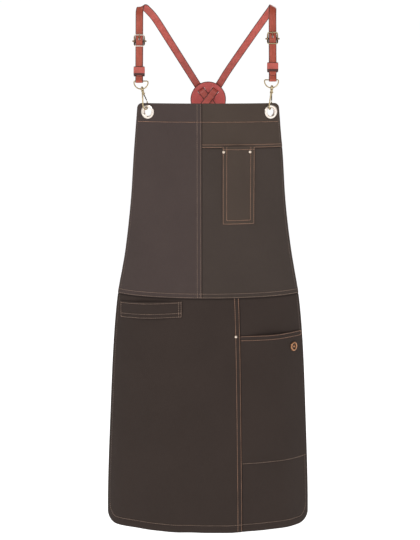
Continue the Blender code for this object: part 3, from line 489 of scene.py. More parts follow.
# ---- where the cloth lies ----------------------------------------------------------------
def cloth_size(z):
    """Half width and depth of the cloth at height z, on a smooth curve through PROFILE."""
    z = np.asarray(z, float)
    heights = PROFILE[:, 0]
    i = np.clip(np.searchsorted(-heights, -z) - 1, 0, len(heights) - 2)
    a, b = PROFILE[np.maximum(i - 1, 0)], PROFILE[i]
    c, d = PROFILE[i + 1], PROFILE[np.minimum(i + 2, len(heights) - 1)]
    step = c[..., 0] - b[..., 0]
    t = (z - b[..., 0]) / step
    sizes = []
    for k in (1, 2):
        slope_b = (c[..., k] - a[..., k]) / (c[..., 0] - a[..., 0]) * step
        slope_c = (d[..., k] - b[..., k]) / (d[..., 0] - b[..., 0]) * step
        sizes.append(
            (2 * t**3 - 3 * t**2 + 1) * b[..., k] + (t**3 - 2 * t**2 + t) * slope_b
            + (3 * t**2 - 2 * t**3) * c[..., k] + (t**3 - t**2) * slope_c
        )
    return sizes


def half_width(z):
    return cloth_size(z)[0]


def skirt_seam(z):
    return SKIRT_SEAM * half_width(z) + SEAM_LAP


def drape(x, z):
    """Soft folds that all the cloth shares. They die out near the metal pieces, which don't move."""
    share = x / half_width(z)
    fall = smoothstep(WAIST - 0.05, HEM, z)
    folds = 0.0016 * fall * np.sin(11.0 * share + 0.8 + 1.2 * z)
    folds += 0.0007 * fall * np.sin(23.0 * share - 0.6 + 3.0 * z)
    chest = smoothstep(BIB_TOP, BIB_TOP - 0.10, z) * smoothstep(WAIST, WAIST + 0.09, z)
    folds += 0.0007 * chest * np.sin(7.0 * share + 16.0 * z + 0.4)
    folds += 0.0005 * chest * np.sin(14.0 * share - 23.0 * z)
    crease = np.abs(x) * 0.55 + (z - WAIST)
    folds -= 0.0008 * np.exp(-((crease - 0.13) / 0.012) ** 2) * smoothstep(0.04, 0.09, np.abs(x)) * chest
    fixed = [
        (-EYELET_ACROSS["left"] * half_width(EYELET_Z), EYELET_Z),
        (EYELET_ACROSS["right"] * half_width(EYELET_Z), EYELET_Z),
    ]
    fixed += [*CHEST_RIVETS, SIDE_RIVET, BADGE_AT]
    fixed += [(sign * RING_ACROSS * half_width(RING_Z), RING_Z - 0.012) for sign in (-1, 1)]
    for at_x, at_z in fixed:
        folds = folds * smoothstep(0.012, 0.045, np.hypot(x - at_x, z - at_z))
    return folds


def lay(x, z, proud):
    """Points of the cloth's face at x and z moved out by proud, and the outward directions there."""
    half, depth = cloth_size(z)
    angle = np.arcsin(np.clip(x / half, -1, 1) * sin(WRAP))
    out = np.stack([depth * np.sin(angle), -half * np.cos(angle) / sin(WRAP), np.zeros_like(half)], -1)
    out /= np.linalg.norm(out, axis=-1)[..., None]
    base = np.stack([x, depth * (1 - np.cos(angle)), z], -1)
    return base + out * (proud + drape(x, z))[..., None], out


def seat(x, z, proud=0.0):
    """A matrix on the cloth whose local Z points straight out of it."""
    point, out = lay(np.float64(x), np.float64(z), np.float64(proud))
    return Matrix.Translation(point) @ Vector(out).to_track_quat("Z", "Y").to_matrix().to_4x4()


def corner_drop(x, half, radius):
    over = np.maximum(0.0, np.abs(x) - (half - radius))
    return radius - np.sqrt(np.maximum(0.0, radius**2 - over**2))


def near(*lines):
    """Distances from an edge at which a grid needs lines: close by it, and round each stitch line."""
    found = [0.0, 0.0005, 0.0012, 0.0022]
    for line in lines:
        found += [line - 0.0020, line - 0.0010, line, line + 0.0010, line + 0.0020]
    kept = [0.0]
    for value in sorted(found):
        if value - kept[-1] > 0.0004:
            kept.append(value)
    return kept


CORNER_STEPS = [0.0, 0.0004, 0.0010, 0.0020, 0.0032, 0.0048, 0.0068, 0.0090]
HEM_STEPS = [0.0, 0.0004, 0.0012, 0.0025, 0.0042, 0.0062, 0.0088, 0.0120, 0.0155, 0.0200, 0.0250, 0.0300]


def grid(left, right, top, bottom, left_steps, right_steps, top_steps, bottom_steps, step, radii=(0, 0)):
    """x and z of a panel's grid. left and right give x at a height; top and bottom are heights."""
    nominal = np.array([top, bottom])
    width = float(np.mean(right(nominal) - left(nominal)))
    middle = max(2, round((width - left_steps[-1] - right_steps[-1]) / step))
    tall = max(2, round((top - bottom - top_steps[-1] - bottom_steps[-1]) / step))
    down = np.concatenate([
        top - np.array(top_steps)[:-1],
        np.linspace(top - top_steps[-1], bottom + bottom_steps[-1], tall + 1),
        bottom + np.array(bottom_steps)[:-1][::-1],
    ])

    def across(z):
        inner_left, inner_right = left(z) + left_steps[-1], right(z) - right_steps[-1]
        shares = np.linspace(0, 1, middle + 1)
        columns = [left(z) + s for s in left_steps[:-1]]
        columns += [inner_left + (inner_right - inner_left) * s for s in shares]
        columns += [right(z) - s for s in right_steps[:-1][::-1]]
        return np.stack(columns, -1)

    z = np.repeat(down[:, None], len(left_steps) + middle + len(right_steps) - 1, 1)
    high = np.full(z.shape[1], top)
    low = np.full(z.shape[1], bottom)
    if radii[0]:
        high = high - corner_drop(across(np.array(top)), half_width(top), radii[0])
    if radii[1]:
        low = low + corner_drop(across(np.array(bottom)), half_width(bottom), radii[1])
    z = high + (low - high) * (top - z) / (top - bottom)
    x = np.stack([across(z[:, k])[:, k] for k in range(z.shape[1])], 1)
    return x, z


def slab(x, z, proud, thickness=CANVAS, worn=None):
    """A closed sheet over a grid: face, back, and a rounded rim."""
    front, _ = lay(x, z, proud)
    middle, _ = lay(x, z, proud - thickness / 2)
    back, _ = lay(x, z, proud - thickness)
    rows, columns = x.shape
    index = np.arange(rows * columns).reshape(rows, columns)
    rim = [
        *index[0, :-1], *index[:-1, -1], *index[-1, ::-1][:-1], *index[::-1, 0][:-1],
    ]
    inner = np.clip(np.arange(rows), 1, rows - 2)[:, None] * columns + np.clip(np.arange(columns), 1,
        columns - 2)
    flat_middle = middle.reshape(-1, 3)
    outward = flat_middle[rim] - flat_middle[inner.ravel()[rim]]
    length = np.linalg.norm(outward, axis=1)[:, None]
    bulge = flat_middle[rim] + outward / np.maximum(length, 1e-9) * thickness * 0.30
    count = rows * columns
    verts = np.concatenate([front.reshape(-1, 3), back.reshape(-1, 3), bulge])
    quads = [
        (index[i, j], index[i, j + 1], index[i + 1, j + 1], index[i + 1, j])
        for i in range(rows - 1)
        for j in range(columns - 1)
    ]
    faces = [list(q) for q in quads] + [[v + count for v in q[::-1]] for q in quads]
    around = len(rim)
    for k in range(around):
        n = (k + 1) % around
        faces.append([rim[k], 2 * count + k, 2 * count + n, rim[n]])
        faces.append([2 * count + k, rim[k] + count, rim[n] + count, 2 * count + n])
    run = np.concatenate([np.zeros((rows, 1)),
        np.cumsum(np.linalg.norm(np.diff(front, axis=1), axis=2), 1)], 1)
    run += x[:, :1]
    weave = np.stack([run, z, np.zeros_like(z)], -1).reshape(-1, 3)
    worn = (np.zeros_like(x) if worn is None else worn).ravel()
    layers = {
        "weave": np.concatenate([weave, weave + (0.3, 0.0, 0.0), weave[rim]]),
        "worn": np.concatenate([worn, worn * 0.3, np.maximum(worn[rim], 0.3)]),
    }
    return verts, faces, layers


def pucker(distance, along):
    """The small trough and ripples that a stitch line pulls in the cloth."""
    return -0.00022 * np.exp(-((distance / 0.0011) ** 2)) * (1 + 0.35 * np.sin(along * 900))


def painted_lap_shade(distance):
    """Painted shade: a dark line on the cloth beside a lapped edge, where the lap casts its shadow; distance
    is past that edge.
    """
    return -0.85 * np.exp(-(((distance - 0.0006) / 0.0010) ** 2))


def ridge_wear(distance, along):
    """Paler cloth where a seam's ridge rubs, in patches."""
    patches = 0.5 + 0.5 * np.sin(along * 210) * np.sin(along * 83 + 1)
    return 0.22 * np.exp(-((distance / 0.0016) ** 2)) * (0.4 + 0.6 * patches)


# ---- stitches ----------------------------------------------------------------------------
def stitch_run(x, z, proud, reverse=None):
    """A line of stitches along x and z on the cloth. reverse is the level of its other side, if it shows."""
    x, z = np.broadcast_arrays(np.asarray(x, float), np.asarray(z, float))
    proud = np.broadcast_to(proud, x.shape)
    blocks = []
    for level, sign in ((proud, 1), (reverse, -1)):
        if level is None:
            continue
        level = np.broadcast_to(level, x.shape)
        points, out = lay(x, z, level)
        out = out * sign
        run = np.concatenate([[0], np.cumsum(np.linalg.norm(np.diff(points, axis=0), axis=1))])
        count = max(1, int(run[-1] / (STITCH + STITCH_GAP)))
        starts = (np.arange(count) + 0.5) * run[-1] / count
        shares = np.array([-0.5, -0.40, -0.15, 0.15, 0.40, 0.5])
        heights = np.array([-0.9, 0.05, 0.55, 0.55, 0.05, -0.9]) * THREAD
        sizes = np.array([0.45, 0.95, 1.0, 1.0, 0.95, 0.45]) * THREAD
        at = starts[:, None] + shares * STITCH
        centre = np.stack([np.interp(at, run, points[:, k]) for k in range(3)], -1)
        normal = np.stack([np.interp(at, run, out[:, k]) for k in range(3)], -1)
        normal /= np.linalg.norm(normal, axis=-1)[..., None]
        along = centre[:, -1] - centre[:, 0]
        along /= np.linalg.norm(along, axis=-1)[:, None]
        side = np.cross(along[:, None], normal)
        centre = centre + normal * heights[:, None]
        angles = np.linspace(0, 2 * pi, 6, endpoint=False)
        ring = normal[:, :, None] * np.sin(angles)[:, None] + side[:, :, None] * np.cos(angles)[:, None]
        verts = centre[:, :, None] + ring * sizes[:, None, None]
        verts = verts.reshape(-1, 3)
        faces = []
        for k in range(count):
            first = k * 36
            for i in range(5):
                for j in range(6):
                    a, b = first + i * 6 + j, first + i * 6 + (j + 1) % 6
                    faces.append([a, b, b + 6, a + 6])
            faces.append([first + j for j in range(5, -1, -1)])
            faces.append([first + 30 + j for j in range(6)])
        blocks.append((verts, faces, {"weave": verts.copy()}))
    return joined(blocks)


def stitches(name, runs, finish=None):
    verts, faces, layers = joined(runs)
    made = mesh_object(name, verts, faces, finish or COPPER_THREAD, layers)
    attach(made, "apron")
    return made


def line(start, stop, count=60):
    return np.linspace(start, stop, count)


# ---- cloth pieces ------------------------------------------------------------------------
def side_edge(sign, share=1.0):
    return lambda z: sign * share * half_width(z)


def lap_over(distance, width=LAP_WIDTH):
    """Raises the last stretch of a panel that laps over its neighbour; distance is from its edge."""
    return LAP * (1 - smoothstep(width, width + 0.0025, distance))


def tuck_under(distance):
    """Lowers the stretch of a panel that another one laps over; distance is past that one's edge."""
    return -UNDER * (1 - smoothstep(0.0004, 0.0030, distance))


def cloth_piece(name, blocks, finish, node):
    verts, faces, layers = joined(blocks)
    made = mesh_object(name, verts, faces, finish, layers)
    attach(made, "apron")
    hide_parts(node)
    return made


def side_hem_block(sign, top, bottom, level):
    """The cloth folded back behind a side edge."""
    x, z = grid(
        side_edge(1, 1 - SIDE_FOLD_SHARE) if sign > 0 else side_edge(-1),
        side_edge(1) if sign > 0 else side_edge(-1, 1 - SIDE_FOLD_SHARE),
        top, bottom, [0.0, 0.0006], [0.0, 0.0006], [0.0, 0.0006], [0.0, 0.0006], 0.004,
    )
    return slab(x, z, np.full_like(x, level))


def build_bib():
    seam = CENTRE_SEAM
    centre_lines = (0.0012, 0.0083)
    waist_lines = (0.0012, 0.0086)

    # left panel
    x, z = grid(
        side_edge(-1), lambda z: seam + 0 * z, BIB_TOP, WAIST - 0.0002, CORNER_STEPS, near(*centre_lines),
        near(0.036), near(*waist_lines), 0.0036, (BIB_CORNER, 0),
    )
    to_seam, to_waist, to_top = seam - x, z - WAIST, BIB_TOP - z
    proud = np.maximum(lap_over(to_seam), lap_over(to_waist))
    worn = ridge_wear(to_seam, z) + ridge_wear(to_waist, x) + ridge_wear(to_top - 0.0005, x) * 0.6
    for distance in centre_lines:
        proud = proud + pucker(to_seam - distance, z)
        worn += 0.5 * ridge_wear(to_seam - distance - 0.0015, z)
    for distance in waist_lines:
        proud = proud + pucker(to_waist - distance, x)
    proud = proud + pucker(to_top - 0.036, x)
    left_blocks = [slab(x, z, proud, worn=worn)]
    left_blocks.append(side_hem_block(-1, FACING_LOW - 0.001, WAIST + 0.001, -CANVAS - 0.0001))

    # yoke
    x, z = grid(
        lambda z: seam - 0.0080 + 0 * z, side_edge(1), BIB_TOP, YOKE_SEAM, near(0.0080, 0.0092), CORNER_STEPS,
        near(0.036), near(0.0012, 0.0061), 0.0036, (BIB_CORNER, 0),
    )
    to_seam, to_yoke, to_top = x - seam, z - YOKE_SEAM, BIB_TOP - z
    proud = tuck_under(to_seam) + lap_over(to_yoke, 0.0072) * smoothstep(0.0, 0.003, to_seam)
    proud = proud + (pucker(to_yoke - 0.0012, x) + pucker(to_yoke - 0.0061, x)) * smoothstep(0.0, 0.003,
        to_seam)
    proud = proud + pucker(to_top - 0.036, x)
    # Paler rubbed ridges, and painted shade beside the left panel's lapped edge.
    worn = ridge_wear(to_yoke, x) + ridge_wear(to_top - 0.0005, x) * 0.6 + painted_lap_shade(to_seam)
    yoke_blocks = [slab(x, z, proud, worn=worn)]

    # right panel, under the left one and under the yoke
    x, z = grid(
        lambda z: seam - 0.0080 + 0 * z, side_edge(1), YOKE_SEAM + 0.0060, WAIST - 0.0002,
        near(0.0080, 0.0092),
        near(0.0040), near(0.0060, 0.0072), near(*waist_lines), 0.0036,
    )
    to_seam, to_yoke, to_waist = x - seam, YOKE_SEAM - z, z - WAIST
    proud = np.minimum(tuck_under(to_seam), tuck_under(to_yoke))
    clear = smoothstep(0.0, 0.003, to_seam)
    proud = proud + lap_over(to_waist) * clear
    # Painted shade beside the edges of the left panel and the yoke, which lap over this panel.
    worn = ridge_wear(to_waist, x) * clear + painted_lap_shade(to_seam) + painted_lap_shade(to_yoke)
    for distance in waist_lines:
        proud = proud + pucker(to_waist - distance, x) * clear
    right_blocks = [slab(x, z, proud, worn=worn)]
    right_blocks.append(side_hem_block(1, YOKE_SEAM - 0.001, WAIST + 0.001, -CANVAS - 0.0001))

    # facing behind the top edge
    x, z = grid(
        side_edge(-1, 0.992), side_edge(1, 0.992), BIB_TOP - 0.0006, FACING_LOW, CORNER_STEPS, CORNER_STEPS,
        near(), near(), 0.0036, (BIB_CORNER, 0),
    )
    behind = -0.0011 * smoothstep(0.0130, 0.0100, np.abs(x - seam + 0.0035))
    facing_blocks = [slab(x, z, -CANVAS - 0.0002 + behind)]

    # stitches
    reverse = -2 * CANVAS - 0.0003
    facing_reverse = reverse - 0.0002
    z_seam = line(BIB_TOP - 0.001, WAIST + 0.0005, 200)
    centre_runs = [
        stitch_run(seam - d, z_seam, LAP,
            np.where(z_seam > FACING_LOW, facing_reverse - 0.0011, reverse - 0.0011))
        for d in centre_lines
    ]
    x_top = np.concatenate([
        line(-half_width(-0.2285) + 0.0035, -0.025, 50), line(-0.0245, -0.0085, 12),
        line(-0.008, half_width(-0.2285) - 0.0035, 50),
    ])
    top_level = np.where((x_top < seam) & (x_top > seam - LAP_WIDTH - 0.001), LAP, 0.0)
    top_runs = [stitch_run(x_top, BIB_TOP - 0.036 + 0 * x_top, top_level, facing_reverse)]
    x_yoke = line(seam + 0.0015, half_width(YOKE_SEAM) - 0.0015, 80)
    yoke_runs = [stitch_run(x_yoke, YOKE_SEAM + d + 0 * x_yoke, LAP, reverse - 0.0010) for d in (0.0012,
        0.0061)]
    x_waist = line(-half_width(WAIST) + 0.001, half_width(WAIST) - 0.001, 160)
    waist_runs = [stitch_run(x_waist, WAIST + d + 0 * x_waist, LAP, reverse - 0.0010) for d in waist_lines]
    side_runs = []
    z_side = line(BIB_TOP - 0.012, WAIST + 0.012, 120)
    for sign in (-1, 1):
        side_runs.append(stitch_run(sign * SIDE_STITCH * half_width(z_side), z_side, 0.0, reverse))

    left_threads = stitches("stitches_center_seam", centre_runs, FADED_THREAD)
    top_threads = stitches("stitches_bib_top", top_runs)
    yoke_threads = stitches("stitches_yoke", yoke_runs)
    waist_threads = stitches("stitches_waist", waist_runs, FADED_THREAD)
    side_threads = stitches("stitches_bib_sides", side_runs, DULL_THREAD)

    left = cloth_piece(
        "bib_left_cloth", left_blocks, BIB_CLOTH, "bib_left_panel",
    )
    yoke = cloth_piece(
        "bib_yoke_cloth", yoke_blocks, BIB_WARM, "bib_yoke",
    )
    cloth_piece(
        "bib_right_cloth", right_blocks, BIB_SHADE, "bib_right_panel",
    )
    facing = cloth_piece(
        "bib_facing_cloth", facing_blocks, BIB_CLOTH, "bib_facing",
    )
    for name, sign, panel in (("left", -1, left), ("right", 1, yoke)):
        hole = cylinder_mesh(seat(sign * EYELET_ACROSS[name] * half_width(EYELET_Z), EYELET_Z), 0.0096, 0.03)
        cut(panel, *hole)
        cut(facing, *hole)
    return left, yoke


def build_skirt():
    lines = (0.0011, 0.0087)
    tops = [0.0, 0.0005, 0.0012]
    hem_line = 0.0152

    def hem_pucker(x, z):
        return pucker(z - HEM - hem_line, x)

    # left panel: laps over the right one, and runs up under the bib
    x, z = grid(
        side_edge(-1), skirt_seam, WAIST + 0.0090, HEM, HEM_STEPS, near(*lines), tops, near(hem_line), 0.0042,
        (0, HEM_CORNER),
    )
    to_seam, to_waist = skirt_seam(z) - x, WAIST - z
    proud = tuck_under(to_waist) + lap_over(to_seam) * smoothstep(0.0, 0.003, to_waist)
    for distance in lines:
        proud = proud + pucker(to_seam - distance, z) * smoothstep(0.0, 0.003, to_waist)
    proud = proud + hem_pucker(x, z)
    # Paler rubbed ridges, and painted shade below the bib's lapped lower edge.
    worn = ridge_wear(to_seam, z) + ridge_wear(z - HEM, x) + painted_lap_shade(to_waist)
    left_blocks = [slab(x, z, proud, worn=worn)]

    # right panel
    x, z = grid(
        lambda z: skirt_seam(z) - 0.0080, side_edge(1), WAIST + 0.0090, HEM, near(0.0080, 0.0092),
        HEM_STEPS, tops,
        near(hem_line), 0.0042, (0, HEM_CORNER),
    )
    to_seam, to_waist = x - skirt_seam(z), WAIST - z
    proud = np.minimum(tuck_under(to_waist), tuck_under(to_seam)) + hem_pucker(x, z)
    # Painted shade below the bib's lapped edge and beside the left panel's lapped edge.
    right_blocks = [slab(x, z, proud, worn=ridge_wear(z - HEM, x) + painted_lap_shade(to_waist) + painted_lap_shade(to_seam))]

    # the hem folded back behind both, and the side hems
    def folded_hem(left, right, left_steps, right_steps):
        gx, gz = grid(left, right, HEM + HEM_FOLD, HEM, left_steps, right_steps, [0.0, 0.0006], near(),
            0.0042)
        rise = corner_drop(gx, half_width(HEM), HEM_CORNER)
        return slab(gx, gz + rise, np.full_like(gx, -CANVAS - 0.0001))

    left_blocks.append(folded_hem(
        side_edge(-1), lambda z: skirt_seam(z) - 0.0105, HEM_STEPS, [0.0, 0.0006],
    ))
    right_blocks.append(folded_hem(
        lambda z: skirt_seam(z) + 0.0010, side_edge(1), [0.0, 0.0006], HEM_STEPS,
    ))
    high, low = WAIST - 0.001, HEM + HEM_CORNER + HEM_FOLD + 0.001
    left_blocks.append(side_hem_block(-1, high, low, -CANVAS - 0.0001))
    right_blocks.append(side_hem_block(1, high, low, -CANVAS - 0.0001))

    reverse = -2 * CANVAS - 0.0003
    z_seam = line(WAIST - 0.001, HEM + 0.0012, 220)
    seam_runs = [stitch_run(skirt_seam(z_seam) - d, z_seam, LAP, reverse - 0.0010) for d in lines]
    half = float(half_width(HEM))
    flat_x = line(-(half - HEM_CORNER), half - HEM_CORNER, 160)
    hem_level = np.where(
        (flat_x < skirt_seam(HEM)) & (flat_x > skirt_seam(HEM) - LAP_WIDTH - 0.001), LAP, 0.0
    )
    hem_runs = [stitch_run(flat_x, HEM + hem_line + 0 * flat_x, hem_level, reverse)]
    side_runs = []
    for sign in (-1, 1):
        turn = np.radians(line(0, 90, 24))
        corner_x = half - HEM_CORNER + (HEM_CORNER - 0.027 * half) * np.sin(turn)
        corner_z = HEM + hem_line + (HEM_CORNER + 0.004) * (1 - np.cos(turn))
        hem_runs.append(stitch_run(sign * corner_x, corner_z, 0.0, reverse))
        z_side = line(WAIST - 0.003, HEM + hem_line + HEM_CORNER + 0.005, 140)
        side_runs.append(stitch_run(sign * SIDE_STITCH * half_width(z_side), z_side, 0.0, reverse))
    seam_threads = stitches("stitches_skirt_seam", seam_runs)
    hem_threads = stitches("stitches_hem", hem_runs, FADED_THREAD)
    side_threads = stitches("stitches_skirt_sides", side_runs, DULL_THREAD)

    left = cloth_piece(
        "skirt_left_cloth", left_blocks, SKIRT_CLOTH, "skirt_left_panel",
    )
    right = cloth_piece(
        "skirt_right_cloth", right_blocks, SKIRT_CLOTH, "skirt_right_panel",
    )
    return left, right


def swell(share, start=0.0, stop=1.0):
    """0 outside start and stop, rising smoothly to 1 midway between them."""
    return np.sin(pi * np.clip((share - start) / (stop - start), 0, 1)) ** 2


def chest_proud(x, z):
    left, right, top, bottom = CHEST_POCKET
    row = (top - z) / (top - bottom)
    return 0.0017 + 0.7 * STAND * swell((x - left) / (right - left), 0.12,
        0.76) * (1 - np.clip(row, 0, 1)) ** 1.5


def side_left(z):
    return skirt_seam(z) + 0.0008


def side_proud(x, z):
    top, bottom = SIDE_POCKET
    left, right = side_left(z), 0.985 * half_width(z)
    row = np.clip((top - z) / (top - bottom), 0, 1)
    return 0.0017 + STAND * swell((x - left) / (right - left), 0.03, 0.97) * (1 - row**0.8) ** 1.3


def loop_proud(x):
    left, right = TOWEL_LOOP[:2]
    return 0.0018 + 0.0052 * swell((x - left) / (right - left), 0.02, 0.95)


def build_pockets():
    left, right, top, bottom = CHEST_POCKET
    sides = (0.0016, 0.0083)
    x, z = grid(
        lambda z: left + 0 * z, lambda z: right + 0 * z, top, bottom, near(*sides), near(*sides),
        near(0.0060),
        near(*sides), 0.0034,
    )
    proud = chest_proud(x, z)
    worn = ridge_wear(top - z, x) + ridge_wear(x - left, z) + ridge_wear(right - x,
        z) + ridge_wear(z - bottom, x)
    for distance in sides:
        proud = proud + pucker(x - left - distance, z) + pucker(right - x - distance, z)
        proud = proud + pucker(z - bottom - distance, x)
    proud = proud + pucker(top - z - 0.0060, x)
    chest = [slab(x, z, proud, worn=worn)]
    hem_x, hem_z = grid(
        lambda z: left + 0.001 + 0 * z, lambda z: right - 0.001 + 0 * z, top, top - 0.0075, near(), near(),
        near(),
        near(), 0.0034,
    )
    chest.append(slab(hem_x, hem_z, chest_proud(hem_x, hem_z) - CANVAS, 0.0005))

    def chest_run(xs, zs):
        xs, zs = np.broadcast_arrays(np.asarray(xs, float), np.asarray(zs, float))
        return stitch_run(xs, zs, chest_proud(xs, zs), None)

    runs = []
    for distance in sides:
        z_side = line(top - 0.0005, bottom + distance, 80)
        runs.append(chest_run(left + distance, z_side))
        runs.append(chest_run(right - distance, z_side))
        runs.append(chest_run(line(left + distance, right - distance, 40), bottom + distance))
    runs.append(chest_run(line(left + 0.001, right - 0.001, 50), top - 0.0060))
    threads = stitches("stitches_chest_pocket", runs)
    cloth_piece(
        "chest_pocket_cloth", chest, BIB_WARM, "chest_pocket",
    )

    top, bottom = SIDE_POCKET
    mouth = (0.0014, 0.0095)
    x, z = grid(
        side_left, side_edge(1, 0.985), top, bottom, near(0.0020), near(0.0025), near(*mouth), near(0.0013),
        0.0040,
    )
    proud = side_proud(x, z) + pucker(z - bottom - 0.0013, x)
    for distance in mouth:
        proud = proud + pucker(top - z - distance, x)
    worn = ridge_wear(top - z, x) + ridge_wear(z - bottom, x)
    side = [slab(x, z, proud, worn=worn)]
    hem_x, hem_z = grid(
        lambda z: side_left(z) + 0.001, side_edge(1, 0.980), top, top - 0.0110, near(), near(), near(),
        near(), 0.0040,
    )
    side.append(slab(hem_x, hem_z, side_proud(hem_x, hem_z) - CANVAS, 0.0005))
    runs = []
    for distance in mouth:
        at = top - distance
        xs = line(float(side_left(at)) + 0.001, 0.982 * float(half_width(at)), 90)
        runs.append(stitch_run(xs, at + 0 * xs, side_proud(xs, at + 0 * xs)))
    at = bottom + 0.0013
    xs = line(float(side_left(at)) + 0.001, 0.982 * float(half_width(at)), 90)
    low_run = stitch_run(xs, at + 0 * xs, side_proud(xs, at + 0 * xs))
    for x_share in (0.9765, 0.9785):
        zs = line(top - 0.0010, top - 0.0100, 12)
        runs.append(stitch_run(x_share * half_width(zs), zs, side_proud(x_share * half_width(zs), zs)))
    threads = stitches("stitches_side_pocket", runs)
    low_threads = stitches("stitches_side_pocket_low", [low_run], FADED_THREAD)
    cloth_piece(
        "side_pocket_cloth", side, SKIRT_CLOTH, "side_pocket",
    )

    # towel loop: a folded band, sewn down at both ends
    left, right, top, bottom, drop = TOWEL_LOOP

    def loop_drop(x):
        return drop * np.clip((right - x) / (right - left), 0, 1)

    lines = (0.0012, 0.0086)
    x, z = grid(
        lambda z: left + 0 * z, lambda z: right + 0 * z, top, bottom, near(0.0012), near(0.0012, 0.0062),
        near(0.0032),
        near(*lines), 0.0034,
    )
    proud = loop_proud(x) + pucker(top - z - 0.0032, x)
    for distance in lines:
        proud = proud + pucker(z - bottom - distance, x)
    fold = 0.0004 * np.sin((top - z) / (top - bottom) * pi)
    worn = ridge_wear(top - z, x) + ridge_wear(z - bottom, x) + ridge_wear(right - x, z)
    band = [slab(x, z - loop_drop(x), proud + fold, 0.0011, worn)]
    band.append(slab(x[:, 1:-1], (z - loop_drop(x))[:, 1:-1],
        loop_proud(x[:, 1:-1]) - 0.0012 - 0.0003 * np.sin(
        (top - z[:, 1:-1]) / (top - bottom) * pi), 0.0009))
    runs = []
    xs = line(left + 0.001, right - 0.001, 80)
    for at in (top - 0.0032, bottom + lines[0], bottom + lines[1]):
        fold_at = 0.0004 * sin((top - at) / (top - bottom) * pi)
        runs.append(stitch_run(xs, at - loop_drop(xs), loop_proud(xs) + fold_at))
    for at in (left + 0.0013, right - 0.0013, right - 0.0062):
        zs = line(top - 0.001, bottom + 0.001, 24)
        folds = 0.0004 * np.sin((top - zs) / (top - bottom) * pi)
        runs.append(stitch_run(at + 0 * zs, zs - loop_drop(at), loop_proud(at + 0 * zs) + folds))
    threads = stitches("stitches_towel_loop", runs, FADED_THREAD)
    cloth_piece(
        "towel_loop_cloth", band, SKIRT_CLOTH, "towel_loop",
    )


# ---- small metal on the cloth ------------------------------------------------------------
def metal_piece(name, matrix, verts, faces, finish, slot, body="apron", nodes=(), sharp=None):
    made = mesh_object(name, moved(matrix, verts), faces, finish)
    if sharp:
        made.data.set_sharp_from_angle(angle=radians(sharp))
    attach(made, body)
    if nodes:
        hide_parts(*nodes)
    return made


def build_eyelets():
    for name, sign in (("left", -1), ("right", 1)):
        matrix = seat(sign * EYELET_ACROSS[name] * half_width(EYELET_Z), EYELET_Z)
        hole, outer, barrel = EYELET_HOLE, EYELET_OUTER, EYELET_HOLE + 0.0008
        low = -2 * CANVAS - 0.0026
        verts, faces = lathe([
            (hole, low), (hole, -0.0004), (hole + 0.0002, 0.0006), (hole + 0.0007, 0.0014),
            (hole + 0.0015, 0.0019),
            (hole + 0.0024, 0.0021), (outer - 0.0022, 0.0019), (outer - 0.0014, 0.0016),
            (outer - 0.0007, 0.0012),
            (outer - 0.0002, 0.0008), (outer, 0.0004), (outer - 0.0002, 0.0001), (outer - 0.0010, 0.0001),
            (barrel, 0.0001), (barrel, low), (hole, low),
        ], 72)
        metal_piece("eyelet_ring_" + name, matrix, verts, faces, EYELET_NICKEL_AND_HIGHLIGHT, "brass",
            nodes=["eyelet_" + name])
        face = -2 * CANVAS - 0.0005
        verts, faces = lathe([
            (barrel + 0.0002, face), (outer - 0.0004, face), (outer - 0.0001, face - 0.0004),
            (outer - 0.0006, face - 0.0010), (barrel + 0.0016, face - 0.0013),
            (barrel + 0.0002, face - 0.0010),
            (barrel + 0.0002, face),
        ], 72)
        metal_piece(
            "eyelet_back_" + name, matrix, verts, faces, EYELET_NICKEL_AND_HIGHLIGHT, "brass", nodes=["eyelet_washer_" + name]
        )


def build_rivets():
    spots = [("chest_rivet_left", *CHEST_RIVETS[0]), ("chest_rivet_right", *CHEST_RIVETS[1]),
             ("side_pocket_rivet", *SIDE_RIVET)]
    for name, x, z in spots:
        proud = 0.0 if name.startswith("side") else float(chest_proud(np.float64(x), np.float64(z)))
        matrix = seat(x, z, proud)
        back = -2 * CANVAS - 0.0006 - (proud if proud else -CANVAS)
        verts, faces = lathe([
            (0.0, 0.0017), (0.0006, 0.00165), (0.0011, 0.0013), (0.0014, 0.0009), (0.0017, 0.0007),
            (0.0021, 0.0009), (0.0024, 0.0008), (0.0026, 0.0005), (0.0026, 0.0001), (0.0011, 0.0001),
            (0.0011, back), (0.0030, back), (0.0030, back - 0.0004), (0.0022, back - 0.0009),
            (0.0, back - 0.0011),
        ], 40)
        metal_piece(name + "_cap", matrix, verts, faces, RIVET_METAL, "brass", nodes=[name])


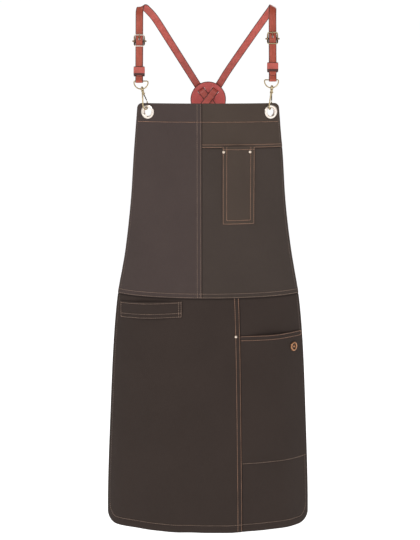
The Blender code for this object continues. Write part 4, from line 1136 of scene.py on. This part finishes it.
def build_badge():
    """A plain round badge: a rolled copper ring round a dark centre with a small dome."""
    x, z = BADGE_AT
    step = 0.004

    def face(at_x, at_z):
        at_x, at_z = np.float64(at_x), np.float64(at_z)
        return Vector(lay(at_x, at_z, side_proud(at_x, at_z))[0])

    across = face(x + step, z) - face(x - step, z)
    up = face(x, z + step) - face(x, z - step)
    matrix = Matrix.Translation(face(x, z)) @ across.cross(up).to_track_quat("Z", "Y").to_matrix().to_4x4()
    radius = BADGE_RADIUS
    verts, faces = lathe([
        (radius * 0.58, 0.0006), (radius * 0.58, 0.0020), (radius * 0.64, 0.0027), (radius * 0.78, 0.0031),
        (radius * 0.90, 0.0027), (radius * 0.97, 0.0020), (radius, 0.0012), (radius * 0.985, 0.0005),
        (radius * 0.80, 0.0003), (radius * 0.58, 0.0006),
    ], 64)
    metal_piece("badge_copper_ring", matrix, verts, faces, COPPER, "copper", nodes=["badge_ring"])
    verts, faces = lathe([
        (0.0, 0.0016), (radius * 0.18, 0.0016), (radius * 0.36, 0.0015), (radius * 0.50, 0.0013),
        (radius * 0.57, 0.0010), (radius * 0.57, 0.0004), (0.0014, 0.0004), (0.0014, -0.0022),
        (0.0038, -0.0022), (0.0036, -0.0028), (0.0, -0.0030),
    ], 64)
    metal_piece("badge_dark_center", matrix, verts, faces, BADGE_DARK, "badge_dark", nodes=["badge_center"])
    verts, faces = lathe([
        (0.0, 0.0030), (radius * 0.10, 0.0029), (radius * 0.19, 0.0025), (radius * 0.24, 0.0019),
        (radius * 0.25, 0.0013), (0.0, 0.0013),
    ], 40)
    metal_piece("badge_copper_dome", matrix, verts, faces, COPPER, "copper")


# ---- leather -----------------------------------------------------------------------------
def band_outline(half, thick, crown=0.00012):
    """Half-width w, thickness t, edge and inner shares of a leather band's section, all round."""
    side = [
        (1.0, 0.0, 0.0, 1.0), (0.0, -0.0001, 0.55, 1.0), (0.0, -0.0004, 0.88, 1.0), (0.0, -0.0010, 1.0, 0.9),
        (0.0, -0.0019, 1.0, 0.0),
    ]
    points = [(half, 0.0, 1.0)]
    points += [(half + inset, thick / 2 * share, edge) for _, inset, share, edge in side[1:]]
    points += [(half * share, thick / 2 + crown * (1 - share**2), 0.0) for share in (0.7, 0.6, 0.5, 0.4,
        0.3, 0.0)]
    top = points + [(-w, t, e) for w, t, e in points[-2::-1]]
    around = [(w, t, e, 0.0) for w, t, e in top] + [(-w, -t, e, 1.0) for w, t, e in top[1:-1]]
    return np.array(around)


def leather_band(rows, half, thick, closed=False, tip=0.0):
    """A leather band along rows of (point, wide). tip rounds the first end over that length."""
    outline = band_outline(half, thick)
    points = np.array([np.array(p) for p, _ in rows])
    wides = np.array([np.array(w) for _, w in rows])
    if closed:
        along = np.roll(points, -1, 0) - np.roll(points, 1, 0)
    else:
        along = np.gradient(points, axis=0)
    along /= np.linalg.norm(along, axis=1)[:, None]
    wides = wides - along * np.sum(wides * along, 1)[:, None]
    wides /= np.linalg.norm(wides, axis=1)[:, None]
    outs = np.cross(wides, along)
    run = np.concatenate([[0], np.cumsum(np.linalg.norm(np.diff(points, axis=0), axis=1))])
    widths = np.ones(len(points))
    thicks = np.ones(len(points))
    ends = np.zeros(len(points))
    if not closed:
        for distance in (run, run[-1] - run):
            ends = np.maximum(ends, 1 - smoothstep(0.0004, 0.0014, distance))
            thicks = np.minimum(thicks, 0.55 + 0.45 * np.sqrt(np.clip(distance / 0.0008, 0, 1)))
        if tip:
            over = np.clip(1 - run / tip, 0, 1)
            widths = np.sqrt(np.maximum(0.02, 1 - over**2 * 0.98))
    rings = (
        points[:, None] + wides[:, None] * outline[:, 0][:, None] * widths[:, None, None]
        + outs[:, None] * outline[:, 1][:, None] * thicks[:, None, None]
    )
    verts, faces = loft(rings, closed)
    count = len(outline)
    edge = np.maximum(np.tile(outline[:, 2], len(points)), np.repeat(ends, count))
    inner = np.tile(outline[:, 3], len(points))
    weave = np.stack([
        np.tile(outline[:, 0], len(points)), np.repeat(run, count), np.tile(outline[:, 1], len(points)) * 3,
    ], 1)
    return verts, faces, {"edge": edge, "inner": inner, "weave": weave}


def leather_piece(name, block, node, finish=None, body="apron"):
    verts, faces, layers = block
    made = mesh_object(name, verts, faces, finish or LEATHER, layers)
    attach(made, body)
    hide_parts(node)
    return made


def front_matrix(name):
    """The frame at the middle of a strap eye's bar, its local Z running up the strap."""
    place = Vector((FRONTS[name][1], EYE_Y, FRONTS[name][3]))
    return Matrix.Translation(place) @ Euler((-LEAN, 0, 0)).to_matrix().to_4x4()


def waist_axes(sign):
    """Origin and axes of a waist ring: along its bar, inwards, and up through the ring."""
    x = sign * RING_ACROSS * half_width(RING_Z)
    point, out = lay(np.float64(x), np.float64(RING_Z), np.float64(-RING_IN))
    inward = -Vector(out)
    along = inward.cross(Vector((0, 0, 1)))
    rise = inward * sin(RING_LEAN) + Vector((0, 0, cos(RING_LEAN)))
    return Vector(point), along, rise.cross(along), rise


def disc_offset(distance, over):
    """How far the strap lies from the disc's middle plane, at a distance from the disc's centre."""
    clear = DISC / 2 + GAP + STRAP / 2
    start, stop = SLIT[0] + 0.0004, SLIT[1] - 0.0004
    share = min(1.0, max(0.0, (abs(distance) - start) / (stop - start)))
    offset = -clear + 2 * clear * share
    if over:
        offset -= (STRAP + GAP) * min(1.0, max(0.0, (0.0135 - abs(distance)) / 0.0040))
    return offset


def strap_rows(name):
    """Rows of (point, wide) of a strap: its tail and front, shoulder and back, disc, and folded end."""
    sign, _, _, _, _, bar_up, _, _ = FRONTS[name]
    over = name == "right"
    place = front_matrix(name)
    across = Vector((1, 0, 0))
    bulge = PIN + GAP + CHAPE + GAP + STRAP / 2
    front = [
        (0.0078, TAIL), (0.022, TAIL), (0.045, TAIL), (bar_up - 0.0095, TAIL),
        (bar_up - 0.0052, TAIL + 0.0006),
        (bar_up - 0.0022, bulge - 0.0002), (bar_up, bulge), (bar_up + 0.0022, bulge - 0.0002),
        (bar_up + 0.0058, TAIL + 0.0004), (bar_up + 0.0095, TAIL), (bar_up + 0.020, TAIL), (0.128, TAIL),
    ]
    tail = [(place @ Vector((0, -y, z)), across) for z, y in front]

    def mirrored(x, y, z):
        return Vector((-sign * x, y, z))

    def tilted(x, y, z):
        return Vector((x, -sign * y, -sign * z))

    if name == "left":
        upper = [
            (Vector((-0.1346, 0.0558, -0.0135)), tilted(1, 0, 0.10)),
            (Vector((-0.1326, 0.0602, -0.0066)), tilted(0.95, 0, 0.30)),
            (Vector((-0.1273, 0.0660, -0.0056)), tilted(0.90, 0, 0.43)),
            (Vector((-0.1208, 0.0715, -0.0100)), tilted(0.90, 0, 0.43)),
            (Vector((-0.1045, 0.0860, -0.0290)), tilted(0.90, 0, 0.43)),
            (Vector((-0.0765, 0.1250, -0.0745)), tilted(0.87, 0, 0.49)),
        ]
    else:
        upper = [
            (Vector((0.1266, 0.0532, -0.0135)), tilted(1, -0.08, 0.06)),
            (Vector((0.1271, 0.0588, -0.0068)), tilted(0.93, -0.20, 0.28)),
            (Vector((0.1270, 0.0660, -0.0046)), tilted(0.80, -0.40, 0.42)),
            (Vector((0.1232, 0.0740, -0.0112)), tilted(0.84, -0.22, 0.46)),
            (Vector((0.1144, 0.0850, -0.0240)), tilted(0.87, -0.05, 0.48)),
            (Vector((0.0797, 0.1250, -0.0745)), tilted(0.87, 0, 0.49)),
        ]
    upper.append((mirrored(-0.0420, 0.1760, -0.1310), tilted(0.82, 0, 0.57)))
    wide = tilted(0.80, 0, 0.60)
    distances = [-0.038, -0.030, -0.0258, -0.0229, -0.0200, -0.0165, -0.0135, -0.0095, -0.004]
    distances += [0.0, *[-d for d in reversed(distances)]]
    middle = [
        (mirrored(CROSS.x * d, DISC_Y + disc_offset(d, over), DISC_Z + CROSS.z * d), wide) for d in distances
    ]
    origin, along, inner, rise = waist_axes(-sign)
    along = along * (1 if along.x * wide.x > 0 else -1)
    far = RING_HEIGHT
    fold = [(far + 0.034, -0.0012), (far + 0.022, -0.0012), (far + 0.012, -0.0016), (far + 0.004, -FOLD)]
    fold += [(far + z, y) for y, z in arc((0, 0), FOLD, 180, 360, 8)]
    fold += [(far + 0.004, FOLD), (far + 0.012, 0.0018), (far + 0.020, 0.0014), (far + 0.029, 0.0014)]
    end = [(origin + rise * z + inner * y, along) for z, y in fold]
    lower = [
        (mirrored(0.050, 0.2040, -0.270), tilted(0.79, 0.05, 0.58)),
        (mirrored(0.088, 0.1960, -0.335), tilted(0.78, 0.25, 0.50)),
        (mirrored(0.121, 0.1620, -0.410), tilted(0.75, 0.50, 0.30)),
        (mirrored(0.140, 0.1150, -0.475), along),
    ]
    return [*tail, *upper, *middle, *lower, *end]


def fine_rows(rows, step, count=6):
    flat = spaced(smooth_rows([[*point, *wide] for point, wide in rows], count), step)
    return [(row[:3], row[3:]) for row in flat]


def build_straps():
    for name, values in FRONTS.items():
        bar_up, keeper_up = values[5:7]
        place = front_matrix(name)
        buckle_place = place @ Matrix.Translation((0, 0, bar_up))
        strap = leather_piece(
            "strap_leather_" + name,
            leather_band(fine_rows(strap_rows(name), 0.0016), STRAP_WIDTH / 2, STRAP, tip=0.005),
            "strap_" + name,
        )
        cut(strap, *box_mesh(buckle_place, (-0.0014, -0.008, 0.0004), (0.0014, -0.0028, 0.0082)))

        # chape: doubled leather round the eye's bar and the buckle's bar
        eye_radius, bar_radius = WIRE + GAP + CHAPE / 2, PIN + GAP + CHAPE / 2
        loop = [
            *arc((0, 0), eye_radius, 180, 360, 16), (PINCH, 0.0065), (PINCH, bar_up - 0.0065),
            *arc((0, bar_up), bar_radius, -20, 200, 16), (-PINCH, bar_up - 0.0065), (-PINCH, 0.0065),
        ]
        loop = spaced([*loop, loop[0]], 0.0010)[:-1]
        rows = [(place @ Vector((0, y, z)), place.to_3x3() @ Vector((-1, 0, 0))) for y, z in loop]
        chape = leather_piece(
            "chape_leather_" + name, leather_band(rows, STRAP_WIDTH / 2, CHAPE, closed=True), "chape_" + name
        )
        cut(chape, *box_mesh(buckle_place, (-0.0017, -0.008, -0.0045), (0.0017, 0.008, 0.006)))

        # keeper: a band round the chape and the tail
        half, front, back, thick, height = KEEPER
        outline = []
        corner = 0.0022 - thick / 2
        for x, y, start in ((half, back, 0), (-half, back, 90), (-half, front, 180), (half, front, 270)):
            sx, sy = (1 if x > 0 else -1), (1 if y == back else -1)
            centre = (x + sx * (thick / 2 - corner), y + sy * (thick / 2 - corner))
            outline += arc(centre, corner, start, start + 90, 6)
        outline = spaced([*outline, outline[0]], 0.0007)[:-1]
        up = place.to_3x3() @ Vector((0, 0, 1))
        rows = [(place @ Vector((x, y, keeper_up)), up) for x, y in outline]
        band = leather_band(rows, height / 2, thick, closed=True)
        # Painted shade: the keeper's lowest few millimetres are marked as edge, so they go dark; partly its
        # burnished lower edge, partly a painted shadow under the keeper.
        rise = band[2]["weave"][:, 0] + height / 2
        band[2]["edge"] = np.maximum(band[2]["edge"], 1 - smoothstep(0.0035, 0.0058, rise))
        leather_piece("keeper_leather_" + name, band, "keeper_" + name, body="keeper_" + name)


def build_disc():
    radius = DISC_RADIUS
    angles = np.linspace(0, 2 * pi, 120, endpoint=False)
    profile = [
        (0.0, 0.0012, 0.0), (0.30, 0.00120, 0.0), (0.60, 0.00118, 0.0), (0.80, 0.00114, 0.0),
        (0.90, 0.00110, 0.0),
        (0.93, 0.00106, 0.0), (0.950, 0.00102, 0.5), (0.970, 0.00090, 1.0), (0.990, 0.0005, 1.0),
        (1.0, 0.0, 1.0),
    ]
    full = [(max(r, 0.002), t, e) for r, t, e in profile] + [(max(r, 0.002), -t, e) for r, t,
        e in profile[-2::-1]]
    rings = np.array([
        np.stack([radius * r * np.cos(angles), np.full(120, -t), radius * r * np.sin(angles)], 1) for r, t,
        _ in full
    ])
    verts, faces = loft(rings)
    verts = verts + (0, DISC_Y, DISC_Z)
    edge = np.repeat([e for _, _, e in full], 120)
    made = leather_piece(
        "cross_disc_leather", (verts, faces, {"edge": edge, "inner": edge * 0, "weave": verts.copy()}),
        "cross_disc",
        DISC_LEATHER,
    )
    start, stop, width = SLIT
    for sx, sz in ((1, 1), (-1, 1), (-1, -1), (1, -1)):
        direction = Vector((CROSS.x * sx, 0, CROSS.z * sz))
        wide = direction.cross(Vector((0, 1, 0)))
        turn = Matrix((wide, direction.cross(wide), direction)).transposed().to_4x4()
        cut(made, *box_mesh(Matrix.Translation((0, DISC_Y, DISC_Z)) @ turn, (-width / 2, -0.01, start),
                            (width / 2, 0.01, stop)))


# ---- buckles, eyes, hooks and rings ------------------------------------------------------
def build_buckles():
    for name, values in FRONTS.items():
        place = front_matrix(name) @ Matrix.Translation((0, 0, values[5]))
        half_w, half_h, corner = FRAME_HALF_WIDTH, FRAME_HALF_HEIGHT, 0.003
        outline = []
        for sx, sz, start in ((1, 1, 0), (-1, 1, 90), (-1, -1, 180), (1, -1, 270)):
            centre = (sx * (half_w - corner), sz * (half_h - corner))
            outline += arc(centre, corner, start, start + 90, 8)
        path = spaced([*outline, outline[0]], 0.0008)[:-1]
        path = np.stack([path[:, 0], FRAME_FRONT * (path[:, 1] / half_h) ** 2, path[:, 1]], 1)
        upright = 1 - smoothstep(0.0065, 0.0090, np.abs(path[:, 2]))
        radius = FRAME_WIRE * (1 + 0.25 * upright * (1 - (path[:, 2] / half_h) ** 2))
        verts, faces = tube(path, radius, 16, closed=True)
        blocks = [(verts, faces, {})]
        for sign in (-1, 1):
            turn = Matrix.Translation((sign * (half_w + 0.0002), 0, 0)) @ Euler((0, sign * pi / 2,
                0)).to_matrix().to_4x4()
            boss, boss_faces = lathe([
                (0.0, 0.0016), (0.0021, 0.0016), (0.0026, 0.0012), (0.0027, 0.0), (0.0026, -0.0012),
                (0.0021, -0.0014), (0.0, -0.0014),
            ], 28)
            blocks.append((moved(turn, boss), boss_faces, {}))
        verts, faces, _ = joined(blocks)
        frame_piece = metal_piece(
            "buckle_frame_metal_" + name, place, verts, faces, DARK_BRASS, "dark_brass",
            nodes=["buckle_frame_" + name]
        )
        # Painted highlight: the frame's top and bottom bars take a paler metal than its dark sides, standing
        # in for the light they catch; nickel-white on the left buckle, pale brass on the right.
        frame_piece.data.materials.append(EYELET_NICKEL_AND_HIGHLIGHT if name == "left" else PALE_BRASS_AND_HIGHLIGHT)
        inverse = place.inverted()
        for face in frame_piece.data.polygons:
            if abs((inverse @ face.center).z) > 0.0088:
                face.material_index = 1
        end = half_w + 0.0020
        half_pin = [(PIN, end), (0.0014, end), (0.0017, end + 0.0004), (0.0018, end + 0.0012),
            (0.0015, end + 0.0021),
                    (0.0009, end + 0.0027), (0.0, end + 0.0028)]
        verts, faces = lathe([*reversed(half_pin), *[(r, -h) for r, h in half_pin]], 28)
        metal_piece(
            "buckle_bar_metal_" + name, place @ Euler((0, pi / 2, 0)).to_matrix().to_4x4(), verts, faces,
            DARK_BRASS,
            "dark_brass", nodes=["buckle_bar_" + name],
        )
        reach = FRAME_HALF_HEIGHT / cos(PRONG_TILT) + 0.0024
        direction = np.array([0, -sin(PRONG_TILT), cos(PRONG_TILT)])
        shank_path = [direction * (0.0016 + (reach - 0.0016) * k / 14) for k in range(15)]
        sizes = PRONG * np.array([1.15, *np.linspace(1.12, 0.98, 12), 0.80, 0.35])
        shank = tube(shank_path, sizes, 14)
        angles = np.linspace(0, 2 * pi, 24, endpoint=False)
        hub_rings = []
        for x, r in ((-0.0012, 0.00145), (-0.0012, 0.0022), (-0.0009, 0.0025), (0.0009, 0.0025),
            (0.0012, 0.0022),
                     (0.0012, 0.00145)):
            hub_rings.append(np.stack([np.full(24, x), r * np.cos(angles), r * np.sin(angles)], 1))
        hub = loft(np.array(hub_rings), closed=True)
        verts, faces, _ = joined([(*shank, {}), (*hub, {})])
        metal_piece(
            "buckle_prong_metal_" + name, place, verts, faces, DARK_BRASS, "brass", body="prong_" + name,
            nodes=["buckle_prong_" + name], sharp=40,
        )


def hook_frame(name):
    """The swivel's matrix and the hook's length: local Z up the stem, local X across the hook's plane."""
    sign, _, _, eye_z, swivel_x, _, _, turn = FRONTS[name]
    x = sign * EYELET_ACROSS[name] * half_width(EYELET_Z) + HOOK_ACROSS[name]
    half, depth = cloth_size(EYELET_Z)
    angle = asin(x / half * sin(WRAP))
    out = Vector((depth * sin(angle), -half * cos(angle) / sin(WRAP), 0)).normalized()
    end = Vector((x, depth * (1 - cos(angle)), EYELET_Z)) - out * HOOK_BACK
    end += Vector((0, 0, EYELET_HOLE - HOOK_REST))
    start = Vector((swivel_x, EYE_Y, eye_z - EYE_DROP))
    down = (end - start).normalized()
    front = Vector((-sin(turn), -cos(turn), 0))
    front = (front - down * front.dot(down)).normalized()
    side = (-down).cross(front)
    return Matrix.Translation(start) @ Matrix((side, -front,
        -down)).transposed().to_4x4(), (end - start).length


def build_hooks():
    for name, (_, strap_x, eye_x, eye_z, _, _, _, _) in FRONTS.items():
        middle, half, drop, corner = eye_x - strap_x, EYE_WIDTH / 2, EYE_DROP, 0.0022
        points = arc((middle + half - corner, -corner), corner, 90, 20, 6)
        bow = [radians(-8 - 164 * k / 40) for k in range(41)]
        points += [(middle + half * cos(a), -corner + (drop - corner) * sin(a)) for a in bow]
        points += arc((middle - half + corner, -corner), corner, 160, 90, 6)
        path = spaced([*points, points[0]], 0.0009)[:-1]
        place = Matrix.Translation((strap_x, EYE_Y, eye_z))
        verts, faces = tube([(x, 0, z) for x, z in path], WIRE, 16, closed=True)
        verts = moved(place, verts)
        matrix, length = hook_frame(name)
        boss, boss_faces = lathe([
            (0.0018, 0.0022), (0.0026, 0.0025), (0.0031, 0.0020), (0.0034, 0.0009), (0.0034, -0.0009),
            (0.0031, -0.0020), (0.0026, -0.0025), (0.0018, -0.0022), (0.0018, 0.0022),
        ], 36)
        bow = metal_piece(
            "strap_eye_metal_" + name, Matrix.Identity(4), verts, faces, PALE_BRASS_AND_HIGHLIGHT, "brass",
            body="eye_" + name,
            nodes=["strap_eye_" + name],
        )
        cut(bow, *cylinder_mesh(matrix, 0.0018, 0.012))
        metal_piece(
            "strap_eye_boss_" + name, matrix, boss, boss_faces, PALE_BRASS_AND_HIGHLIGHT, "brass", body="eye_" + name,
        )

        low = -length
        gate_end = low + 0.0155
        half = HOOK_HALF
        leg = smooth_rows(
            [(0, -0.0016, -0.0075), (0, -0.0048, -0.014), (0, -0.0085, low + 0.0155),
                (0, -half, low + half)], 10
        )
        bend = [(0, y, z) for y, z in arc((0, low + half), half, 180, 360, 30)]
        path = [*leg, *bend[1:], (0, half - 0.0001, gate_end - 0.0016), (0, half - 0.0002, gate_end - 0.0006)]
        path = spaced(path, 0.0008)
        share = np.linspace(0, 1, len(path))
        radius = HOOK_WIRE * (1.02 - 0.08 * share)
        radius[-1] *= 0.7
        hook = tube(path, radius, 18)
        turned = lathe([
            (0.0, 0.0052), (0.0014, 0.0051), (0.0021, 0.0046), (0.0026, 0.0037), (0.0026, 0.0031),
            (0.0015, 0.0029),
            (0.0014, -0.0028), (0.0026, -0.0030), (0.0030, -0.0037), (0.0029, -0.0046), (0.0027, -0.0052),
        ], 36)
        slot = 0.0016
        block_rings = []
        for z, r in ((-0.0050, 0.0022), (-0.0062, 0.0025), (-0.0085, 0.0029), (-0.0105, 0.0030),
            (-0.0112, 0.0027),
                     (-0.0114, 0.0022)):
            angles = np.linspace(0, 2 * pi, 36, endpoint=False)
            block_rings.append(np.stack([r * np.cos(angles), r * np.sin(angles), np.full(36, z)], 1))
        block = loft(np.array(block_rings))
        made = metal_piece(
            "snap_hook_block_" + name, matrix, *block, PALE_BRASS_AND_HIGHLIGHT, "brass", body="hook_" + name, sharp=50
        )
        cut(made, *box_mesh(matrix, (-slot, -0.0015, -0.0125), (slot, 0.0060, -0.0062)))
        verts, faces, _ = joined([(*hook, {}), (*turned, {})])
        metal_piece(
            "snap_hook_wire_" + name, matrix, verts, faces, PALE_BRASS_AND_HIGHLIGHT, "brass", body="hook_" + name,
            nodes=["snap_hook_" + name],
        )
        pivot = Vector((0, 0.0012, -0.0087))
        pin_turn = matrix @ Matrix.Translation(pivot) @ Euler((0, pi / 2, 0)).to_matrix().to_4x4()
        pin = [(0.0007, 0.0024), (0.0009, 0.0028), (0.0011, 0.0031), (0.0009, 0.0035), (0.0, 0.0036)]
        verts, faces = lathe([*reversed(pin), *[(r, -h) for r, h in pin]], 20)
        metal_piece(
            "gate_pin_metal_" + name, pin_turn, verts, faces, DARK_BRASS, "brass", body="hook_" + name,
            nodes=["gate_pin_" + name],
        )
        tip = np.array([0, half - 0.0007, gate_end + 0.0008]) - np.array(pivot)
        rod = tube([tip * (0.05 + 0.95 * k / 16) for k in range(17)],
                   0.0011 * np.array([1.2, *np.linspace(1.1, 1.0, 14), 0.95, 0.6]), 14)
        angles = np.linspace(0, 2 * pi, 24, endpoint=False)
        hub = loft(np.array([
            np.stack([np.full(24, x), r * np.cos(angles), r * np.sin(angles)], 1)
            for x, r in ((-0.0012, 0.0009), (-0.0012, 0.0018), (0.0012, 0.0018), (0.0012, 0.0009))
        ]), closed=True)
        verts, faces, _ = joined([(*rod, {}), (*hub, {})])
        metal_piece(
            "hook_gate_metal_" + name, matrix @ Matrix.Translation(pivot), verts, faces, NEAR_BLACK_BRASS, "brass",
            body="gate_" + name, nodes=["hook_gate_" + name], sharp=40,
        )


def build_waist():
    for name, sign in (("left", -1), ("right", 1)):
        origin, along, inner, rise = waist_axes(sign)
        place = Matrix.Translation(origin) @ Matrix((along, inner, rise)).transposed().to_4x4()
        half, corner = EYE_WIDTH / 2, 0.003
        outline = []
        for sx, z, start in ((1, RING_HEIGHT, 0), (-1, RING_HEIGHT, 90), (-1, 0, 180), (1, 0, 270)):
            inside = z - corner if z else corner
            outline += arc((sx * (half - corner), inside), corner, start, start + 90, 6)
        path = spaced([*outline, outline[0]], 0.0009)[:-1]
        verts, faces = tube([(x, 0, z) for x, z in path], WIRE, 16, closed=True)
        metal_piece(
            "waist_ring_metal_" + name, place, verts, faces, PALE_BRASS_AND_HIGHLIGHT, "brass", body="ring_" + name,
            nodes=["waist_ring_" + name],
        )
        upright = Matrix((along, Vector((0, 0, 1)).cross(along), Vector((0, 0, 1)))).transposed().to_4x4()
        hang = Matrix.Translation(origin) @ upright
        centre = WIRE + 0.0008 + TAB / 2
        level = PINCH - 0.0001
        loop = [(level, -0.0255), (level, -0.0065), *arc((0, 0), centre, -20, 200, 14), (-level, -0.0065),
                (-level, -0.0255)]
        rows = [(hang @ Vector((0, y, z)), hang.to_3x3() @ Vector((1, 0, 0))) for y,
            z in spaced(loop, 0.0012)]
        verts, faces, layers = leather_band(rows, 0.008, TAB)
        layers["worn"] = layers.pop("edge") * 0.25
        del layers["inner"]
        made = mesh_object("waist_tab_cloth_" + name, verts, faces, SKIRT_CLOTH, layers)
        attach(made, "apron")
        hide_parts("waist_tab_" + name)
        head = RING_HEIGHT + 0.022
        rivet_place = place @ Matrix.Translation((0, 0, head)) @ Euler((pi / 2, 0, 0)).to_matrix().to_4x4()
        front, back = 0.0012 + STRAP / 2 + 0.0001, -(0.0014 + STRAP / 2 + 0.0001)
        verts, faces = lathe([
            (0.0, front + 0.0012), (0.0012, front + 0.0011), (0.0024, front + 0.0007),
            (0.0031, front + 0.0002),
            (0.0031, front), (0.0011, front), (0.0011, back), (0.0031, back), (0.0031, back - 0.0002),
            (0.0024, back - 0.0007), (0.0012, back - 0.0011), (0.0, back - 0.0012),
        ], 36)
        metal_piece(
            "strap_rivet_metal_" + name, rivet_place, verts, faces, RIVET_METAL, "brass",
            nodes=["strap_rivet_" + name]
        )


# ---- stage, light and camera -------------------------------------------------------------
def area_light(name, place, target, size, power, colour=(1, 1, 1)):
    data = bpy.data.lights.new(name, "AREA")
    data.shape = "RECTANGLE"
    data.size, data.size_y = size
    data.energy = power
    data.color = colour
    made = bpy.data.objects.new(name, data)
    bpy.context.scene.collection.objects.link(made)
    made.location = place
    made.rotation_euler = (Vector(target) - Vector(place)).to_track_quat("-Z", "Y").to_euler()
    return made


def build_stage():
    half = 400.0
    floor_z = HEM - 0.12
    steps = np.linspace(-half, half, 9)
    verts = [(x, y, floor_z) for y in steps for x in steps]
    faces = [(r * 9 + c, r * 9 + c + 1, (r + 1) * 9 + c + 1,
        (r + 1) * 9 + c) for r in range(8) for c in range(8)]
    floor = mesh_object("pale_floor", verts, faces, stage_material())
    world = bpy.data.worlds.new("studio")
    bpy.context.scene.world = world
    world.use_nodes = True
    nodes, links = world.node_tree.nodes, world.node_tree.links
    direction = nodes.new("ShaderNodeTexCoord").outputs["Generated"]
    parts = nodes.new("ShaderNodeSeparateXYZ")
    links.new(direction, parts.inputs["Vector"])
    # white behind the apron, and a darker studio ceiling for the metal to mirror
    links.new(ranged(nodes, links, parts.outputs["Z"], 0.16, 0.50, 1.02, 0.22),
        nodes["Background"].inputs["Strength"])
    nodes["Background"].inputs["Color"].default_value = (1.0, 1.0, 1.0, 1)
    area_light("key", (-1.6, -2.6, 1.5), (0, 0, -0.5), (1.6, 2.2), 44)
    area_light("fill", (2.2, -2.2, 0.4), (0, 0, -0.55), (1.4, 2.0), 14)
    area_light("back", (0.9, 2.4, 1.6), (0, 0.1, -0.3), (1.6, 1.2), 30)


def build_camera():
    """The photograph's viewpoint: level with the shoulders, looking a little down."""
    data = bpy.data.cameras.new("camera")
    data.lens = 107.4
    data.sensor_width = 36.0
    made = bpy.data.objects.new("camera", data)
    bpy.context.scene.collection.objects.link(made)
    made.location = (0.0037, -3.15, -0.0436)
    made.rotation_euler = (radians(90 - 8.6), 0, 0)
    bpy.context.scene.camera = made


build_bib()
build_skirt()
build_pockets()
build_eyelets()
build_rivets()
build_badge()
build_straps()
build_disc()
build_buckles()
build_hooks()
build_waist()
build_stage()
build_camera()
bpy.context.scene.view_settings.view_transform = "Standard"
